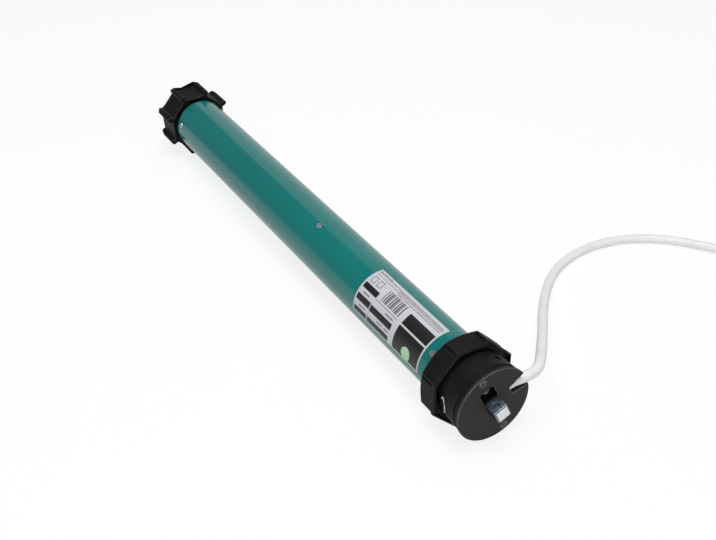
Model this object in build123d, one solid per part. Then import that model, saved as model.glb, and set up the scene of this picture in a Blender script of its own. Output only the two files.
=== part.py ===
from build123d import *
import math
import os

# Tubular motor for a roller blind. X runs along the motor, out of the head, and Z is up.
# The origin is on the motor's axis, in the outer face of the head plate, so every station
# along the motor is negative except that of the square pin. Lengths are in millimetres.

# Clearances
fit_gap = 0.05
run_gap = 0.08
small_gap = 0.1
open_gap = 0.3
shake_gap = 0.5
overrun = 2.0

# Motor tube
tube_diameter = 45.0
tube_wall = 1.2
tube_length = 405.2

# Head plate, turned about the axis as it lies
head_turn = 25.0
plate_step = 0.4
plate_thickness = 1.6
slot_width = 11.0
slot_low = 7.0
slot_high = 16.0
slot_corner = 1.4
notch_start = 14.2
notch_inner_width = 6.6
notch_outer_width = 12.6

# Head housing behind the plate
rim_step = 0.4
rim_length = 1.6
groove_depth = 0.5
groove_length = 2.9
housing_draft = 0.9
housing_clearance = 3.0
key_notch_length = 4.4
key_notch_width = 2.8
key_notch_depth = 1.2
key_notch_angle = 133.0
pocket_depth = 5.4

# Square mounting pin with its foot
pin_side = 10.0
pin_reach = 10.3
pin_chamfer = 1.3
pin_hole_radius = 2.25
pin_hole_station = 5.2
pin_socket_depth = 4.5
foot_thickness = 2.5
foot_screw_place = 11.7
foot_screw_offset = 0.5
foot_screw_radius = 1.4
foot_screw_head_radius = 2.2
foot_screw_head_height = 1.4
foot_screw_length = 6.0

# Screws in the plate
plate_screw_margin = 4.0
plate_screw_radius = 1.4
plate_screw_head_radius = 2.6
plate_screw_head_height = 0.9
plate_screw_length = 12.0
counterbore_depth = 1.0
recess_span_share = 0.62
recess_width_share = 0.2
recess_depth_share = 0.6

# Screws that join the housing to the neck
neck_screw_margin = 5.4
neck_screw_angles = (140.0, 225.0, 315.0)
neck_screw_radius = 1.6
neck_screw_head_radius = 2.8
neck_screw_head_height = 2.2
neck_screw_bite = 7.0
neck_screw_seat = 8.0

# Limit adjusting screws, set radially in the side of the housing
limit_screw_inset = 8.0
limit_screw_angles = (65.0, 208.0)
limit_screw_radius = 2.4
limit_screw_sink = 2.2
limit_screw_length = 10.4
limit_hex_span = 2.5
limit_hex_depth = 2.0

# Crown ring that carries the head end of the blind tube
head_reach = 21.6
crown_length = 16.9
crown_rise = 7.5
crown_flange_length = 3.2
crown_flange_chamfer = 0.9
crown_flange_step = 0.8
crown_tail_step = 0.4
crown_tail_length = 3.6
crown_wall = 1.3
crown_shell = 1.6
crown_hub_wall = 1.5
crown_rib = 1.6
crown_web = 4.0
crown_side_count = 8
crown_groove_turn = 4.5
crown_groove_width = 3.0
crown_groove_depth = 1.0
crown_tail_plain = 1.8

# Neck and plug of the head
neck_step = 2.1
plug_length = 17.0

# Gears of the limit switch, driven by the teeth inside the crown ring
tooth_pitch_share = 0.42
tooth_tip_share = 0.24
tooth_addendum_share = 0.8
tooth_dedendum_share = 1.1
crown_teeth = 44
crown_pitch_step = 0.5
crown_tooth_width = 5.0
pinion_teeth = 20
small_teeth = 12
large_teeth = 48
first_module_share = 0.6
second_module_share = 0.4
limit_shaft_radius = 2.0
limit_axle_radius = 1.25
pinion_gear_lead = 4.0
limit_gear_width = 3.0
second_gear_width = 2.5
gear_step = 9.0
cam_width = 3.5
cam_step = 1.8
cam_lobe_height = 1.3
cam_lobe_span = 40.0

# Switch unit behind the plug
frame_plate = 3.0
spine_height = 4.5
board_step = 4.3
board_thickness = 1.6
block_length = 9.0
block_width = 14.0
block_offset = 3.0
block_height = 5.5
switch_length = 12.0
switch_width = 6.0
plunger_radius = 0.9
plunger_reach = 0.9
plunger_length = 3.0
plunger_travel = 0.5
lead_radius = 1.8
lead_side_step = 4.5
lead_step = 7.0
lead_bend = 3.0

# Capacitor and its holder
capacitor_step = 6.3
capacitor_length = 60.0
tab_length = 4.5
tab_width = 6.0
tab_thickness = 0.8
tab_place = 5.0
holder_ring = 3.0
holder_rail_width = 16.0
holder_wire_hole = 6.0

# Motor: end shields, stator and rotor
shield_plate = 4.0
shield_rim_wall = 1.8
overhang_length = 14.0
inner_fit_gap = 0.2
rotor_gap = 0.4
slot_count = 12
slot_step = 6.1
slot_radius = 2.2
slot_mouth = 1.2
end_turn_rise = 2.4
end_turn_step = 2.3
end_turn_length = 10.0
rotor_step = 3.8
rotor_ring_length = 3.0
rotor_ring_step = 0.8
shaft_radius = 4.0
bush_wall = 2.0
boss_wall = 1.6
bush_length = 9.0

# Brake behind the motor
brake_disc_step = 5.3
brake_disc_thickness = 3.0
armature_step = 4.3
armature_thickness = 3.0
armature_travel = 0.4
magnet_length = 15.0
magnet_bore = 6.0
spring_wall = 2.2
spring_pocket_depth = 3.0

# Planetary gearbox, three stages in one ring gear
sun_teeth = 12
planet_teeth = 18
planet_count = 3
stage_widths = (10.0, 14.0, 24.0)
carrier_plates = (4.0, 4.0, 8.0)
carrier_step = 4.3
planet_pin_radius = 2.0
gearbox_gap = 0.4
gearbox_wall = 2.9
input_plate = 4.0

# End cap, output shaft and drive wheel
cap_plug_length = 32.0
cap_flange_length = 1.8
output_radius = 6.0
output_flat = 4.9
output_bush_wall = 2.0
wheel_gap = 1.5
wheel_length = 26.0
wheel_rise = 4.5
wheel_rib_height = 4.35
wheel_rib_width = 4.4
wheel_turn = 27.3
wheel_wall = 2.6
wheel_hub_radius = 10.0
wheel_web = 5.0
wheel_spoke = 2.2
wheel_front_recess = 3.0
wheel_recess_margin = 1.1
wheel_lead_length = 5.5
wheel_lead_drop = 1.75
clip_thickness = 1.2
clip_groove = 0.8
clip_radius = 8.6
clip_mouth = 6.0
shaft_end_length = 2.4

# Screws through the tube, in opposite pairs
tube_screw_head_radius = 2.4
tube_screw_head_height = 2.0
tube_screw_radius = 1.4
tube_screw_length = 3.0
head_screw_inset = 6.6
head_screw_turn = 134.3
stator_screw_inset = 14.7
stator_screw_turn = 108.6
cap_screw_inset = 6.2
cap_screw_turn = 161.6

# Mains cable: free stretch, storage coil, its tie and the four cores at the bare end
cable_diameter = 7.3
cable_depth = 5.6
cable_start = 9.5
cable_straight = 7.7
channel_gap = 0.35
cable_plug_length = 3.1
core_radius = 1.2
core_spread = 1.6
core_length = 44.0
coil_pitch = 7.9
coil_radius = 54.0
coil_half_turns = 8
coil_lead = 7.3
coil_climb_inset = 1.6
tie_thickness = 0.8
tie_width = 4.0
tie_gap = 0.25
run_share = 0.45
cable_points = (
    (-3.2, 23.0, 9.5),
    (-2.3, 29.4, 10.4),
    (-3.3, 34.8, 10.7),
    (-6.1, 39.6, 10.3),
    (-10.6, 44.4, 9.2),
    (-17.4, 50.8, 6.8),
    (-29.0, 61.6, 2.4),
    (-47.5, 78.0, -4.5),
    (-68.0, 95.7, -11.6),
    (-90.0, 116.0, -18.7),
    (-110.0, 137.5, -24.0),
    (-125.0, 159.0, -26.3),
    (-134.0, 192.0, -26.3),
    (-130.0, 228.0, -26.3),
    (-111.0, 259.0, -26.0),
    (-82.0, 281.0, -25.3),
    (-48.6, 303.1, -25.3),
    (-15.4, 321.5, -25.3),
)

# Stations along the motor, from the head plate backwards
plate_rear = -plate_thickness
rim_rear = plate_rear - rim_length
groove_rear = rim_rear - groove_length
pocket_floor = plate_rear - pocket_depth
socket_floor = pocket_floor - pin_socket_depth
cable_station = -cable_depth
channel_radius = cable_diameter / 2 + channel_gap
crown_front = -head_reach
recess_floor = crown_front - crown_flange_length
housing_rear = recess_floor + shake_gap
crown_rear = crown_front - crown_length
tooth_front = crown_rear + crown_tooth_width
tube_front = crown_rear - shake_gap
tube_rear = tube_front - tube_length
plug_rear = tube_front - plug_length
neck_screw_station = housing_rear + neck_screw_seat
limit_screw_station = groove_rear - limit_screw_inset + shake_gap

# Radii that follow from the tube
tube_radius = tube_diameter / 2
tube_inner_radius = tube_radius - tube_wall
plug_radius = tube_inner_radius - small_gap
screw_seat_radius = tube_inner_radius - open_gap
inner_fit_radius = tube_inner_radius - inner_fit_gap
gearbox_radius = tube_inner_radius - gearbox_gap
board_height = tube_inner_radius - board_step
board_width = 2 * math.sqrt(gearbox_radius ** 2 - (board_height + board_thickness) ** 2)
lead_height = plug_radius - lead_step
capacitor_radius = tube_inner_radius - capacitor_step
slot_circle = inner_fit_radius - slot_step
end_turn_inner = slot_circle - end_turn_rise
end_turn_outer = inner_fit_radius - end_turn_step
rotor_radius = slot_circle - rotor_step
rotor_ring_radius = rotor_radius - rotor_ring_step
brake_disc_radius = tube_inner_radius - brake_disc_step
armature_radius = tube_inner_radius - armature_step
carrier_radius = gearbox_radius - carrier_step
wheel_corner_radius = tube_radius + wheel_rise
wheel_rib_tip = wheel_corner_radius + wheel_rib_height
wheel_lead_radius = wheel_rib_tip - wheel_lead_drop

# Crown ring and head, from the tube outwards
crown_flange_span = tube_diameter + 2 * crown_rise
crown_body_span = crown_flange_span - 2 * crown_flange_step
crown_tail_radius = crown_body_span / 2 - crown_tail_step
housing_rear_radius = crown_flange_span / 2 - crown_wall - housing_clearance
housing_front_radius = housing_rear_radius + housing_draft
groove_radius = housing_front_radius - groove_depth
rim_radius = housing_front_radius + rim_step
plate_radius = rim_radius + plate_step
plate_screw_place = plate_radius - plate_screw_margin
limit_screw_bottom = housing_front_radius - limit_screw_sink - limit_screw_length
half_side = 180 / crown_side_count

# Limit gear train: centres across the head and stations along it
crown_pitch_radius = tube_radius - crown_pitch_step
crown_module = 2 * crown_pitch_radius / crown_teeth
first_module = first_module_share * crown_module
second_module = second_module_share * crown_module
neck_radius = crown_pitch_radius - neck_step
crown_bore = neck_radius + small_gap
neck_screw_place = neck_radius - neck_screw_margin
pinion_pitch_radius = pinion_teeth * crown_module / 2
pinion_offset = pinion_pitch_radius - crown_pitch_radius
lead_offset = -pinion_offset - lead_side_step
first_offset = pinion_offset + (small_teeth + large_teeth) * first_module / 2
second_offset = first_offset - (small_teeth + large_teeth) * second_module / 2
pinion_front = tooth_front - 2 * open_gap
pinion_rear = crown_rear + open_gap
frame_front = plug_rear
frame_inner_front = frame_front - frame_plate
first_front = frame_inner_front - shake_gap - pinion_gear_lead
first_rear = first_front - limit_gear_width
second_front = first_rear - gear_step
second_rear = second_front - second_gear_width
cam_up_front = second_rear - pinion_gear_lead + shake_gap
cam_up_rear = cam_up_front - second_gear_width - cam_width
cam_down_front = cam_up_rear - 4 * shake_gap
cam_down_rear = cam_down_front - second_gear_width - cam_width
frame_inner_rear = cam_down_rear - gear_step + shake_gap
frame_rear = frame_inner_rear - frame_plate
block_front = first_rear - 4 * shake_gap
cam_radius = large_teeth * second_module / 2 - cam_step
plunger_tip = cam_radius + cam_lobe_height + open_gap
switch_bottom = plunger_tip + plunger_reach

# Capacitor, motor and brake stations
capacitor_front = frame_rear - tab_length - shake_gap
capacitor_rear = capacitor_front - capacitor_length
holder_rear = capacitor_rear - holder_ring
stator_front = holder_rear - shield_plate - overhang_length
cap_front = tube_rear + cap_plug_length
gearbox_length = sum(stage_widths) + sum(carrier_plates) + (2 * len(stage_widths) + 1) * shake_gap
gearbox_front = cap_front + gearbox_length
input_front = gearbox_front + input_plate
disc_rear = input_front + small_gap
disc_front = disc_rear + brake_disc_thickness
armature_rear = disc_front + small_gap
armature_front = armature_rear + armature_thickness
magnet_rear = armature_front + armature_travel + small_gap
shield_rear = magnet_rear + magnet_length
stator_rear = shield_rear + shield_plate + overhang_length
stator_bore = rotor_radius + rotor_gap
cap_rear = tube_rear - cap_flange_length
wheel_front = cap_rear - wheel_gap
wheel_rear = wheel_front - wheel_length
shaft_end = wheel_rear + shake_gap
clip_rear = shaft_end + shaft_end_length
clip_front = clip_rear + clip_thickness
hub_rear = clip_front + small_gap
bush_outer = shaft_radius + bush_wall
ring_teeth = sun_teeth + 2 * planet_teeth
planet_module = 2 * (gearbox_radius - gearbox_wall) / ring_teeth
planet_circle = (sun_teeth + planet_teeth) * planet_module / 2


def polar(radius, angle):
    """Point at a radius and an angle in degrees."""
    turn = math.radians(angle)
    return (radius * math.cos(turn), radius * math.sin(turn))


def section_at(station):
    """Plane across the motor at a station, with Y and Z as its own axes."""
    return Plane(origin=(station, 0, 0), x_dir=(0, 1, 0), z_dir=(1, 0, 0))


def prism(sketch, rear, front):
    """Solid with one section from a rear to a front station."""
    return extrude(section_at(rear) * sketch, front - rear)


def rod(radius, rear, front, across=0.0, height=0.0):
    """Round bar along the motor."""
    return prism(Pos(across, height) * Circle(radius), rear, front)


def ring(outer, inner, rear, front, across=0.0, height=0.0):
    """Round tube along the motor."""
    return prism(Pos(across, height) * (Circle(outer) - Circle(inner)), rear, front)


def lathe(points):
    """Solid turned about the motor's axis from (station, radius) points."""
    return revolve(make_face(Polyline(*points, close=True)), axis=Axis.X)


def as_mounted(shape):
    """A shape modelled upright, turned about the axis as the head lies."""
    return Rot(head_turn, 0, 0) * shape


def radial_plane(station, angle):
    """Plane through the axis at a station, which faces out at an angle."""
    return Plane(origin=(station, 0, 0), x_dir=(1, 0, 0), z_dir=(0, *polar(1, angle)))


def radial_rod(radius, station, angle, inner, outer):
    """Round bar along a radius of the motor."""
    return extrude(radial_plane(station, angle).offset(inner) * Circle(radius), outer - inner)


def regular(span, turn=0.0):
    """Regular octagon by its width across flats, with a flat below."""
    octagon = RegularPolygon(span / 2, crown_side_count, major_radius=False, rotation=half_side)
    return Rot(0, 0, turn) * octagon


def gear_outline(teeth, module, inward=False, phase=0.0):
    """Straight-flanked gear outline with a tooth at the phase angle."""
    way = -1 if inward else 1
    pitch_radius = teeth * module / 2
    tip_radius = pitch_radius + way * tooth_addendum_share * module
    root_radius = pitch_radius - way * tooth_dedendum_share * module
    spread = tooth_pitch_share - tooth_tip_share
    root_share = tooth_pitch_share + spread * tooth_dedendum_share / tooth_addendum_share
    corners = ((root_radius, -root_share), (tip_radius, -tooth_tip_share))
    corners += ((tip_radius, tooth_tip_share), (root_radius, root_share))
    points = []
    for tooth in range(teeth):
        middle = phase + 360 * tooth / teeth
        points += [polar(radius, middle + share * 180 / teeth) for radius, share in corners]
    return make_face(Polyline(*points, close=True))


def tip_of(teeth, module):
    """Tip radius of an outward gear."""
    return (teeth / 2 + tooth_addendum_share) * module


def cross_recess(radius):
    """Outline of a cross recess in a screw head."""
    span = 2 * radius * recess_span_share
    width = 2 * radius * recess_width_share
    return Rectangle(span, width) + Rectangle(width, span)


def axial_screw(seat, place, head, shank):
    """Screw along the motor: its head sits on the seat and its shank runs to the rear."""
    head_radius, head_height = head
    shank_radius, shank_length = shank
    body = rod(head_radius, seat, seat + head_height, *place)
    body += rod(shank_radius, seat - shank_length, seat, *place)
    top = seat + head_height
    depth = head_height * recess_depth_share
    return body - prism(Pos(*place) * cross_recess(head_radius), top - depth, top + overrun)


def plate_screw_places():
    """Centres of the two plate screws."""
    return ((0, plate_screw_place), (0, -plate_screw_place))


def neck_screw_places():
    """Centres of the screws between housing and neck."""
    return tuple(polar(neck_screw_place, angle) for angle in neck_screw_angles)


def slot_outline(gap=0.0):
    """Rounded slot of the plate, drawn in by a gap."""
    height = slot_low + slot_high - 2 * gap
    middle = (slot_high - slot_low) / 2
    return Pos(0, middle) * RectangleRounded(slot_width - 2 * gap, height, slot_corner)


def notch_outline(start, inner_width, outer_width):
    """Mouth for the cable that widens to the rim."""
    end = plate_radius + overrun
    side = ((start, inner_width / 2), (end, outer_width / 2))
    other_side = [(radius, -half) for radius, half in reversed(side)]
    return make_face(Polyline(*side, *other_side, close=True))


def along_across(radius, start, end):
    """Round bar across the head, along the cable's way out."""
    plane = Plane(origin=(cable_station, start, 0), x_dir=(1, 0, 0), z_dir=(0, 1, 0))
    return extrude(plane * Circle(radius), end - start)


lead_leg = cable_start - lead_radius - small_gap
lead_path = (
    (cable_station, lead_leg, 0),
    (socket_floor - lead_bend, lead_leg, 0),
    (housing_rear + lead_bend, -lead_offset, lead_height),
    (block_front, -lead_offset, lead_height),
)


def lead_tube(radius, start):
    """Tube along the inner lead's path, from a start on its first leg."""
    points = [(start, lead_leg, 0), *lead_path[1:]]
    route = FilletPolyline(*points, radius=lead_bend)
    return sweep(Plane(origin=route @ 0, z_dir=route % 0) * Circle(radius), path=route)


def head_plate():
    """Dark disc in front of the housing."""
    face = Circle(plate_radius) - slot_outline()
    face -= notch_outline(notch_start, notch_inner_width, notch_outer_width)
    plate = prism(face, plate_rear, 0)
    for place in plate_screw_places():
        plate -= rod(plate_screw_radius + fit_gap, plate_rear - overrun, overrun, *place)
        plate -= rod(plate_screw_head_radius + small_gap, -counterbore_depth, overrun, *place)
    return as_mounted(plate)


def head_housing():
    """Moulded head: slot pocket, pin socket, cable channel, lead tunnel and screw bores."""
    body = lathe((
        (housing_rear, 0),
        (plate_rear, 0),
        (plate_rear, rim_radius),
        (rim_rear, rim_radius),
        (rim_rear, groove_radius),
        (groove_rear, groove_radius),
        (groove_rear, housing_front_radius),
        (housing_rear, housing_rear_radius),
    ))
    body -= prism(slot_outline(), pocket_floor, overrun)
    body -= prism(Rectangle(pin_side + 2 * fit_gap, pin_side + 2 * fit_gap), socket_floor, overrun)
    channel_start = cable_start - cable_plug_length
    body -= along_across(channel_radius, channel_start, plate_radius + overrun)
    channel = Rectangle(plate_radius - channel_start, 2 * channel_radius)
    body -= prism(Pos((channel_start + plate_radius) / 2, 0) * channel, cable_station, overrun)
    mouth = notch_outline(notch_start, 2 * channel_radius, notch_outer_width)
    body -= prism(mouth, cable_station - channel_radius, overrun)
    body -= lead_tube(lead_radius + open_gap, cable_station)
    foot_end = pocket_floor - foot_screw_length - shake_gap
    body -= rod(foot_screw_radius + fit_gap, foot_end, overrun, foot_screw_offset, foot_screw_place)
    for place in plate_screw_places():
        end = -counterbore_depth - plate_screw_length - shake_gap
        body -= rod(plate_screw_radius + fit_gap, end, overrun, *place)
    for place in neck_screw_places():
        body -= rod(neck_screw_radius + fit_gap, housing_rear - overrun, overrun, *place)
        body -= rod(neck_screw_head_radius + open_gap, neck_screw_station, overrun, *place)
    body = as_mounted(body)
    bore = limit_screw_radius + run_gap
    bottom = limit_screw_bottom - small_gap
    for angle in limit_screw_angles:
        body -= radial_rod(bore, limit_screw_station, angle, bottom, rim_radius + overrun)
    notch = Pos(rim_radius, 0) * Rectangle(2 * key_notch_depth, key_notch_width)
    key_notch = prism(notch, groove_rear, groove_rear + key_notch_length)
    return body - Rot(key_notch_angle, 0, 0) * key_notch


def square_pin():
    """Square mounting pin with its foot strap and cross hole."""
    bar = prism(Rectangle(pin_side, pin_side), socket_floor + shake_gap, pin_reach)
    bar = chamfer(bar.faces().sort_by(Axis.X)[-1].edges(), pin_chamfer)
    foot = prism(slot_outline(2 * small_gap), pocket_floor, pocket_floor + foot_thickness)
    bore = foot_screw_radius + fit_gap
    foot -= rod(bore, pocket_floor - overrun, plate_rear, foot_screw_offset, foot_screw_place)
    across = Plane(origin=(pin_hole_station, 0, 0), z_dir=(0, 0, 1))
    return as_mounted(bar + foot - extrude(across * Circle(pin_hole_radius), pin_side, both=True))


def pin_screw():
    """Screw that holds the pin's foot in the slot."""
    head = (foot_screw_head_radius, foot_screw_head_height)
    shank = (foot_screw_radius, foot_screw_length + foot_thickness)
    place = (foot_screw_offset, foot_screw_place)
    return as_mounted(axial_screw(pocket_floor + foot_thickness, place, head, shank))


def head_screws():
    """Two screws of the head plate."""
    head = (plate_screw_head_radius, plate_screw_head_height)
    shank = (plate_screw_radius, plate_screw_length)
    seat = -counterbore_depth
    return [as_mounted(axial_screw(seat, place, head, shank)) for place in plate_screw_places()]


def neck_screws():
    """Three screws between housing and neck."""
    head = (neck_screw_head_radius, neck_screw_head_height)
    shank = (neck_screw_radius, neck_screw_seat + neck_screw_bite)
    seat = neck_screw_station
    return [as_mounted(axial_screw(seat, place, head, shank)) for place in neck_screw_places()]


def cable_plug():
    """Moulded end of the cable in its channel, with a leg towards the switch unit."""
    plug = along_across(channel_radius - small_gap, cable_start - cable_plug_length, cable_start)
    return as_mounted(plug + rod(lead_radius, socket_floor - small_gap, cable_station, lead_leg))


def lead_sleeve():
    """Sleeved cores from the cable plug to the terminal block."""
    return as_mounted(lead_tube(lead_radius, socket_floor - small_gap))


def limit_screw(angle):
    """Adjusting screw with a hexagon socket."""
    top = limit_screw_bottom + limit_screw_length
    screw = radial_rod(limit_screw_radius, limit_screw_station, angle, limit_screw_bottom, top)
    bottom = radial_plane(limit_screw_station, angle).offset(top - limit_hex_depth)
    socket = bottom * RegularPolygon(limit_hex_span / 2, 6, major_radius=False)
    return screw - extrude(socket, limit_hex_depth + overrun)


def pinion_pocket(gap):
    """Room of the pinion in the side of the neck."""
    radius = tip_of(pinion_teeth, crown_module) + 2 * gap
    return rod(radius, pinion_rear - gap, pinion_front + gap, pinion_offset)


def limit_housing():
    """Neck that the crown ring runs on, and the plug in the tube's end."""
    body = rod(neck_radius, tube_front, housing_rear) + rod(plug_radius, plug_rear, tube_front)
    body -= pinion_pocket(open_gap)
    body -= rod(limit_shaft_radius + run_gap, plug_rear - overrun, pinion_front, pinion_offset)
    tunnel = lead_radius + open_gap
    body -= rod(tunnel, plug_rear - overrun, housing_rear + overrun, -lead_offset, lead_height)
    for place in neck_screw_places():
        end = housing_rear - neck_screw_bite - shake_gap
        body -= rod(neck_screw_radius + fit_gap, end, housing_rear + overrun, *place)
    return as_mounted(body) - screw_bores(*head_tube_screws())


def head_tube_screws():
    """Station and turn of the screws at the head end."""
    return (tube_front - head_screw_inset, head_screw_turn)


def stator_tube_screws():
    """Station and turn of the screws in the stator."""
    return (stator_front - stator_screw_inset, stator_screw_turn)


def cap_tube_screws():
    """Station and turn of the screws in the end cap."""
    return (tube_rear + cap_screw_inset, cap_screw_turn)


def screw_bores(station, turn):
    """Bores and seats for one opposite pair of tube screws."""
    bores = []
    bottom = screw_seat_radius - tube_screw_length - small_gap
    head = tube_screw_head_radius + small_gap
    for angle in (turn, turn + 180):
        bores.append(radial_rod(tube_screw_radius + fit_gap, station, angle, bottom, tube_radius))
        bores.append(radial_rod(head, station, angle, screw_seat_radius, tube_radius + overrun))
    return bores


def tube_screws():
    """Six screws that hold the tube on the head, the stator and the end cap."""
    screws = []
    seat = screw_seat_radius
    top = seat + tube_screw_head_height
    depth = tube_screw_head_height * recess_depth_share
    for station, turn in (head_tube_screws(), stator_tube_screws(), cap_tube_screws()):
        for angle in (turn, turn + 180):
            screw = radial_rod(tube_screw_head_radius, station, angle, seat, top)
            screw += radial_rod(tube_screw_radius, station, angle, seat - tube_screw_length, seat)
            recess = radial_plane(station, angle).offset(top - depth)
            recess *= cross_recess(tube_screw_head_radius)
            screws.append(screw - extrude(recess, depth + overrun))
    return screws


def motor_tube():
    """Painted steel tube with the holes of its screws."""
    tube = ring(tube_radius, tube_inner_radius, tube_rear, tube_front)
    for pair in (head_tube_screws(), stator_tube_screws(), cap_tube_screws()):
        tube -= screw_bores(*pair)
    return tube


def crown_ring():
    """Octagonal idler: flange, front recess, hub with inner teeth, ribs, tapered tail and grooves."""
    flange = prism(regular(crown_flange_span), recess_floor, crown_front)
    flange = chamfer(flange.faces().sort_by(Axis.X)[-1].edges(), crown_flange_chamfer)
    body = flange + prism(regular(crown_body_span), crown_rear, recess_floor)
    corner = crown_flange_span / 2 / math.cos(math.radians(half_side)) + overrun
    tail_start = crown_rear + crown_tail_length
    body &= lathe((
        (crown_rear, 0),
        (crown_front, 0),
        (crown_front, corner),
        (tail_start, corner),
        (crown_rear, crown_tail_radius),
    ))
    body -= prism(regular(crown_flange_span - 2 * crown_wall), recess_floor, crown_front + overrun)
    body -= rod(crown_bore, crown_rear - overrun, crown_front + overrun)
    teeth = gear_outline(crown_teeth, crown_module, True, head_turn + 180 - 180 / crown_teeth)
    body -= prism(teeth, crown_rear - overrun, tooth_front)
    root_radius = crown_pitch_radius + tooth_dedendum_share * crown_module
    hub_radius = root_radius + crown_hub_wall
    shell_radius = crown_tail_radius - crown_shell
    room = Circle(shell_radius) - Circle(hub_radius)
    for side in range(crown_side_count):
        angle = half_side + side * 360 / crown_side_count
        room -= Rot(0, 0, angle) * Pos(shell_radius, 0) * Rectangle(shell_radius, crown_rib)
        groove = Pos(groove_place(), 0) * Rectangle(2 * crown_groove_depth, crown_groove_width)
        turn = angle + crown_groove_turn
        body -= Rot(turn, 0, 0) * prism(groove, crown_rear + crown_tail_plain, recess_floor - shake_gap)
    return body - prism(room, crown_rear - overrun, recess_floor - crown_web)


def groove_place():
    """Radius of the octagon's face beside its corner, where the groove lies."""
    return crown_body_span / 2 / math.cos(math.radians(half_side - crown_groove_turn))


def limit_pinion():
    """Pinion in the crown ring's teeth, with a shaft to the small gear in the switch unit."""
    shaft = rod(limit_shaft_radius, first_rear - shake_gap, pinion_front, pinion_offset)
    gear = Pos(pinion_offset, 0) * gear_outline(pinion_teeth, crown_module)
    small = Pos(pinion_offset, 0) * gear_outline(small_teeth, first_module)
    shaft += prism(gear, pinion_rear, pinion_front)
    return as_mounted(shaft + prism(small, first_rear - shake_gap, first_front + shake_gap))


def step_gear(offset, modules, gear, pinion):
    """Large gear with a small one behind it, on a steel axle."""
    gear_front, gear_rear = gear
    phase = 180 / large_teeth
    large = Pos(offset, 0) * gear_outline(large_teeth, modules[0], False, phase)
    small = Pos(offset, 0) * gear_outline(small_teeth, modules[1])
    body = prism(large, gear_rear, gear_front) + prism(small, pinion, gear_rear)
    return as_mounted(body - axle_bore(offset))


def axle_bore(offset):
    """Running bore on a limit gear axle."""
    return rod(limit_axle_radius + run_gap, frame_rear, frame_front, offset)


def limit_gear_first():
    """First reduction gear."""
    gear = (first_front, first_rear)
    return step_gear(first_offset, (first_module, second_module), gear, second_rear - shake_gap)


def limit_gear_second():
    """Second reduction gear, whose long pinion drives both cam wheels."""
    gear = (second_front, second_rear)
    return step_gear(second_offset, (second_module, second_module), gear, cam_down_rear)


def cam_wheel(front):
    """Cam wheel: a gear with a disc that has one lobe."""
    gear_rear = front - second_gear_width
    gear = Pos(first_offset, 0) * gear_outline(large_teeth, second_module, False, 180 / large_teeth)
    lobe_radius = cam_radius + cam_lobe_height
    sides = [polar(2 * lobe_radius, turn) for turn in (-cam_lobe_span / 2, cam_lobe_span / 2)]
    lobe = make_face(Polyline((0, 0), *sides, close=True))
    disc = Circle(cam_radius) + (Circle(lobe_radius) & Rot(0, 0, -90) * lobe)
    body = prism(gear, gear_rear, front)
    body += prism(Pos(first_offset, 0) * disc, gear_rear - cam_width, gear_rear)
    return as_mounted(body - axle_bore(first_offset))


def limit_axles():
    """Steel axles: one between the plates of the switch frame, one out of the rear plate."""
    first = rod(limit_axle_radius, frame_rear, frame_front, first_offset)
    second = rod(limit_axle_radius, frame_rear, second_front + shake_gap, second_offset)
    return [as_mounted(first), as_mounted(second)]


def switch_frame():
    """Two discs and the spine between them that carry gears, board and switches."""
    radius = tube_inner_radius - open_gap
    spine = Circle(radius) & Pos(0, -radius) * Rectangle(2 * radius, 2 * spine_height)
    frame = prism(spine, frame_rear, frame_front)
    frame += rod(radius, frame_inner_front, frame_front)
    frame += rod(radius, frame_rear, frame_inner_rear)
    axle = limit_axle_radius + fit_gap
    shaft = limit_shaft_radius + run_gap
    tunnel = lead_radius + open_gap
    inner, outer = frame_inner_front - overrun, frame_front + overrun
    frame -= rod(axle, frame_rear - overrun, outer, first_offset)
    frame -= rod(axle, frame_rear - overrun, frame_inner_rear + overrun, second_offset)
    frame -= rod(shaft, inner, outer, pinion_offset)
    frame -= rod(tunnel, inner, outer, -lead_offset, lead_height)
    return as_mounted(frame)


def switch_board():
    """Board that carries the terminal block and the switches."""
    outline = Pos(0, board_height + board_thickness / 2) * Rectangle(board_width, board_thickness)
    return as_mounted(prism(outline, frame_inner_rear, block_front))


def terminal_block():
    """Terminal block where the lead ends."""
    outline = Pos(-block_offset, board_height - block_height / 2) * Rectangle(block_width, block_height)
    return as_mounted(prism(outline, block_front - block_length, block_front))


def plunger_stations():
    """Stations of the two plungers, over the middle of each cam."""
    return [front - second_gear_width - cam_width / 2 for front in (cam_up_front, cam_down_front)]


def limit_switches():
    """Two snap switches over the cams."""
    switches = []
    height = board_height - switch_bottom
    depth = plunger_length - plunger_reach + plunger_travel + small_gap
    for station in plunger_stations():
        outline = Pos(first_offset, switch_bottom + height / 2) * Rectangle(switch_length, height)
        body = prism(outline, station - switch_width / 2, station + switch_width / 2)
        floor = Plane(origin=(station, first_offset, switch_bottom), z_dir=(0, 0, 1))
        well = extrude(floor * Circle(plunger_radius + run_gap), depth)
        switches.append(as_mounted(body - well))
    return switches


def switch_plunger(station):
    """Plunger of one snap switch."""
    start = Plane(origin=(station, first_offset, plunger_tip), z_dir=(0, 0, 1)) * Circle(plunger_radius)
    return as_mounted(extrude(start, plunger_length))


def capacitor():
    """Run capacitor with two flat tabs."""
    can = rod(capacitor_radius, capacitor_rear, capacitor_front)
    for side in (-1, 1):
        tab = Pos(side * tab_place, 0) * Rectangle(tab_thickness, tab_width)
        can += prism(tab, capacitor_front, capacitor_front + tab_length)
    return as_mounted(can)


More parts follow.
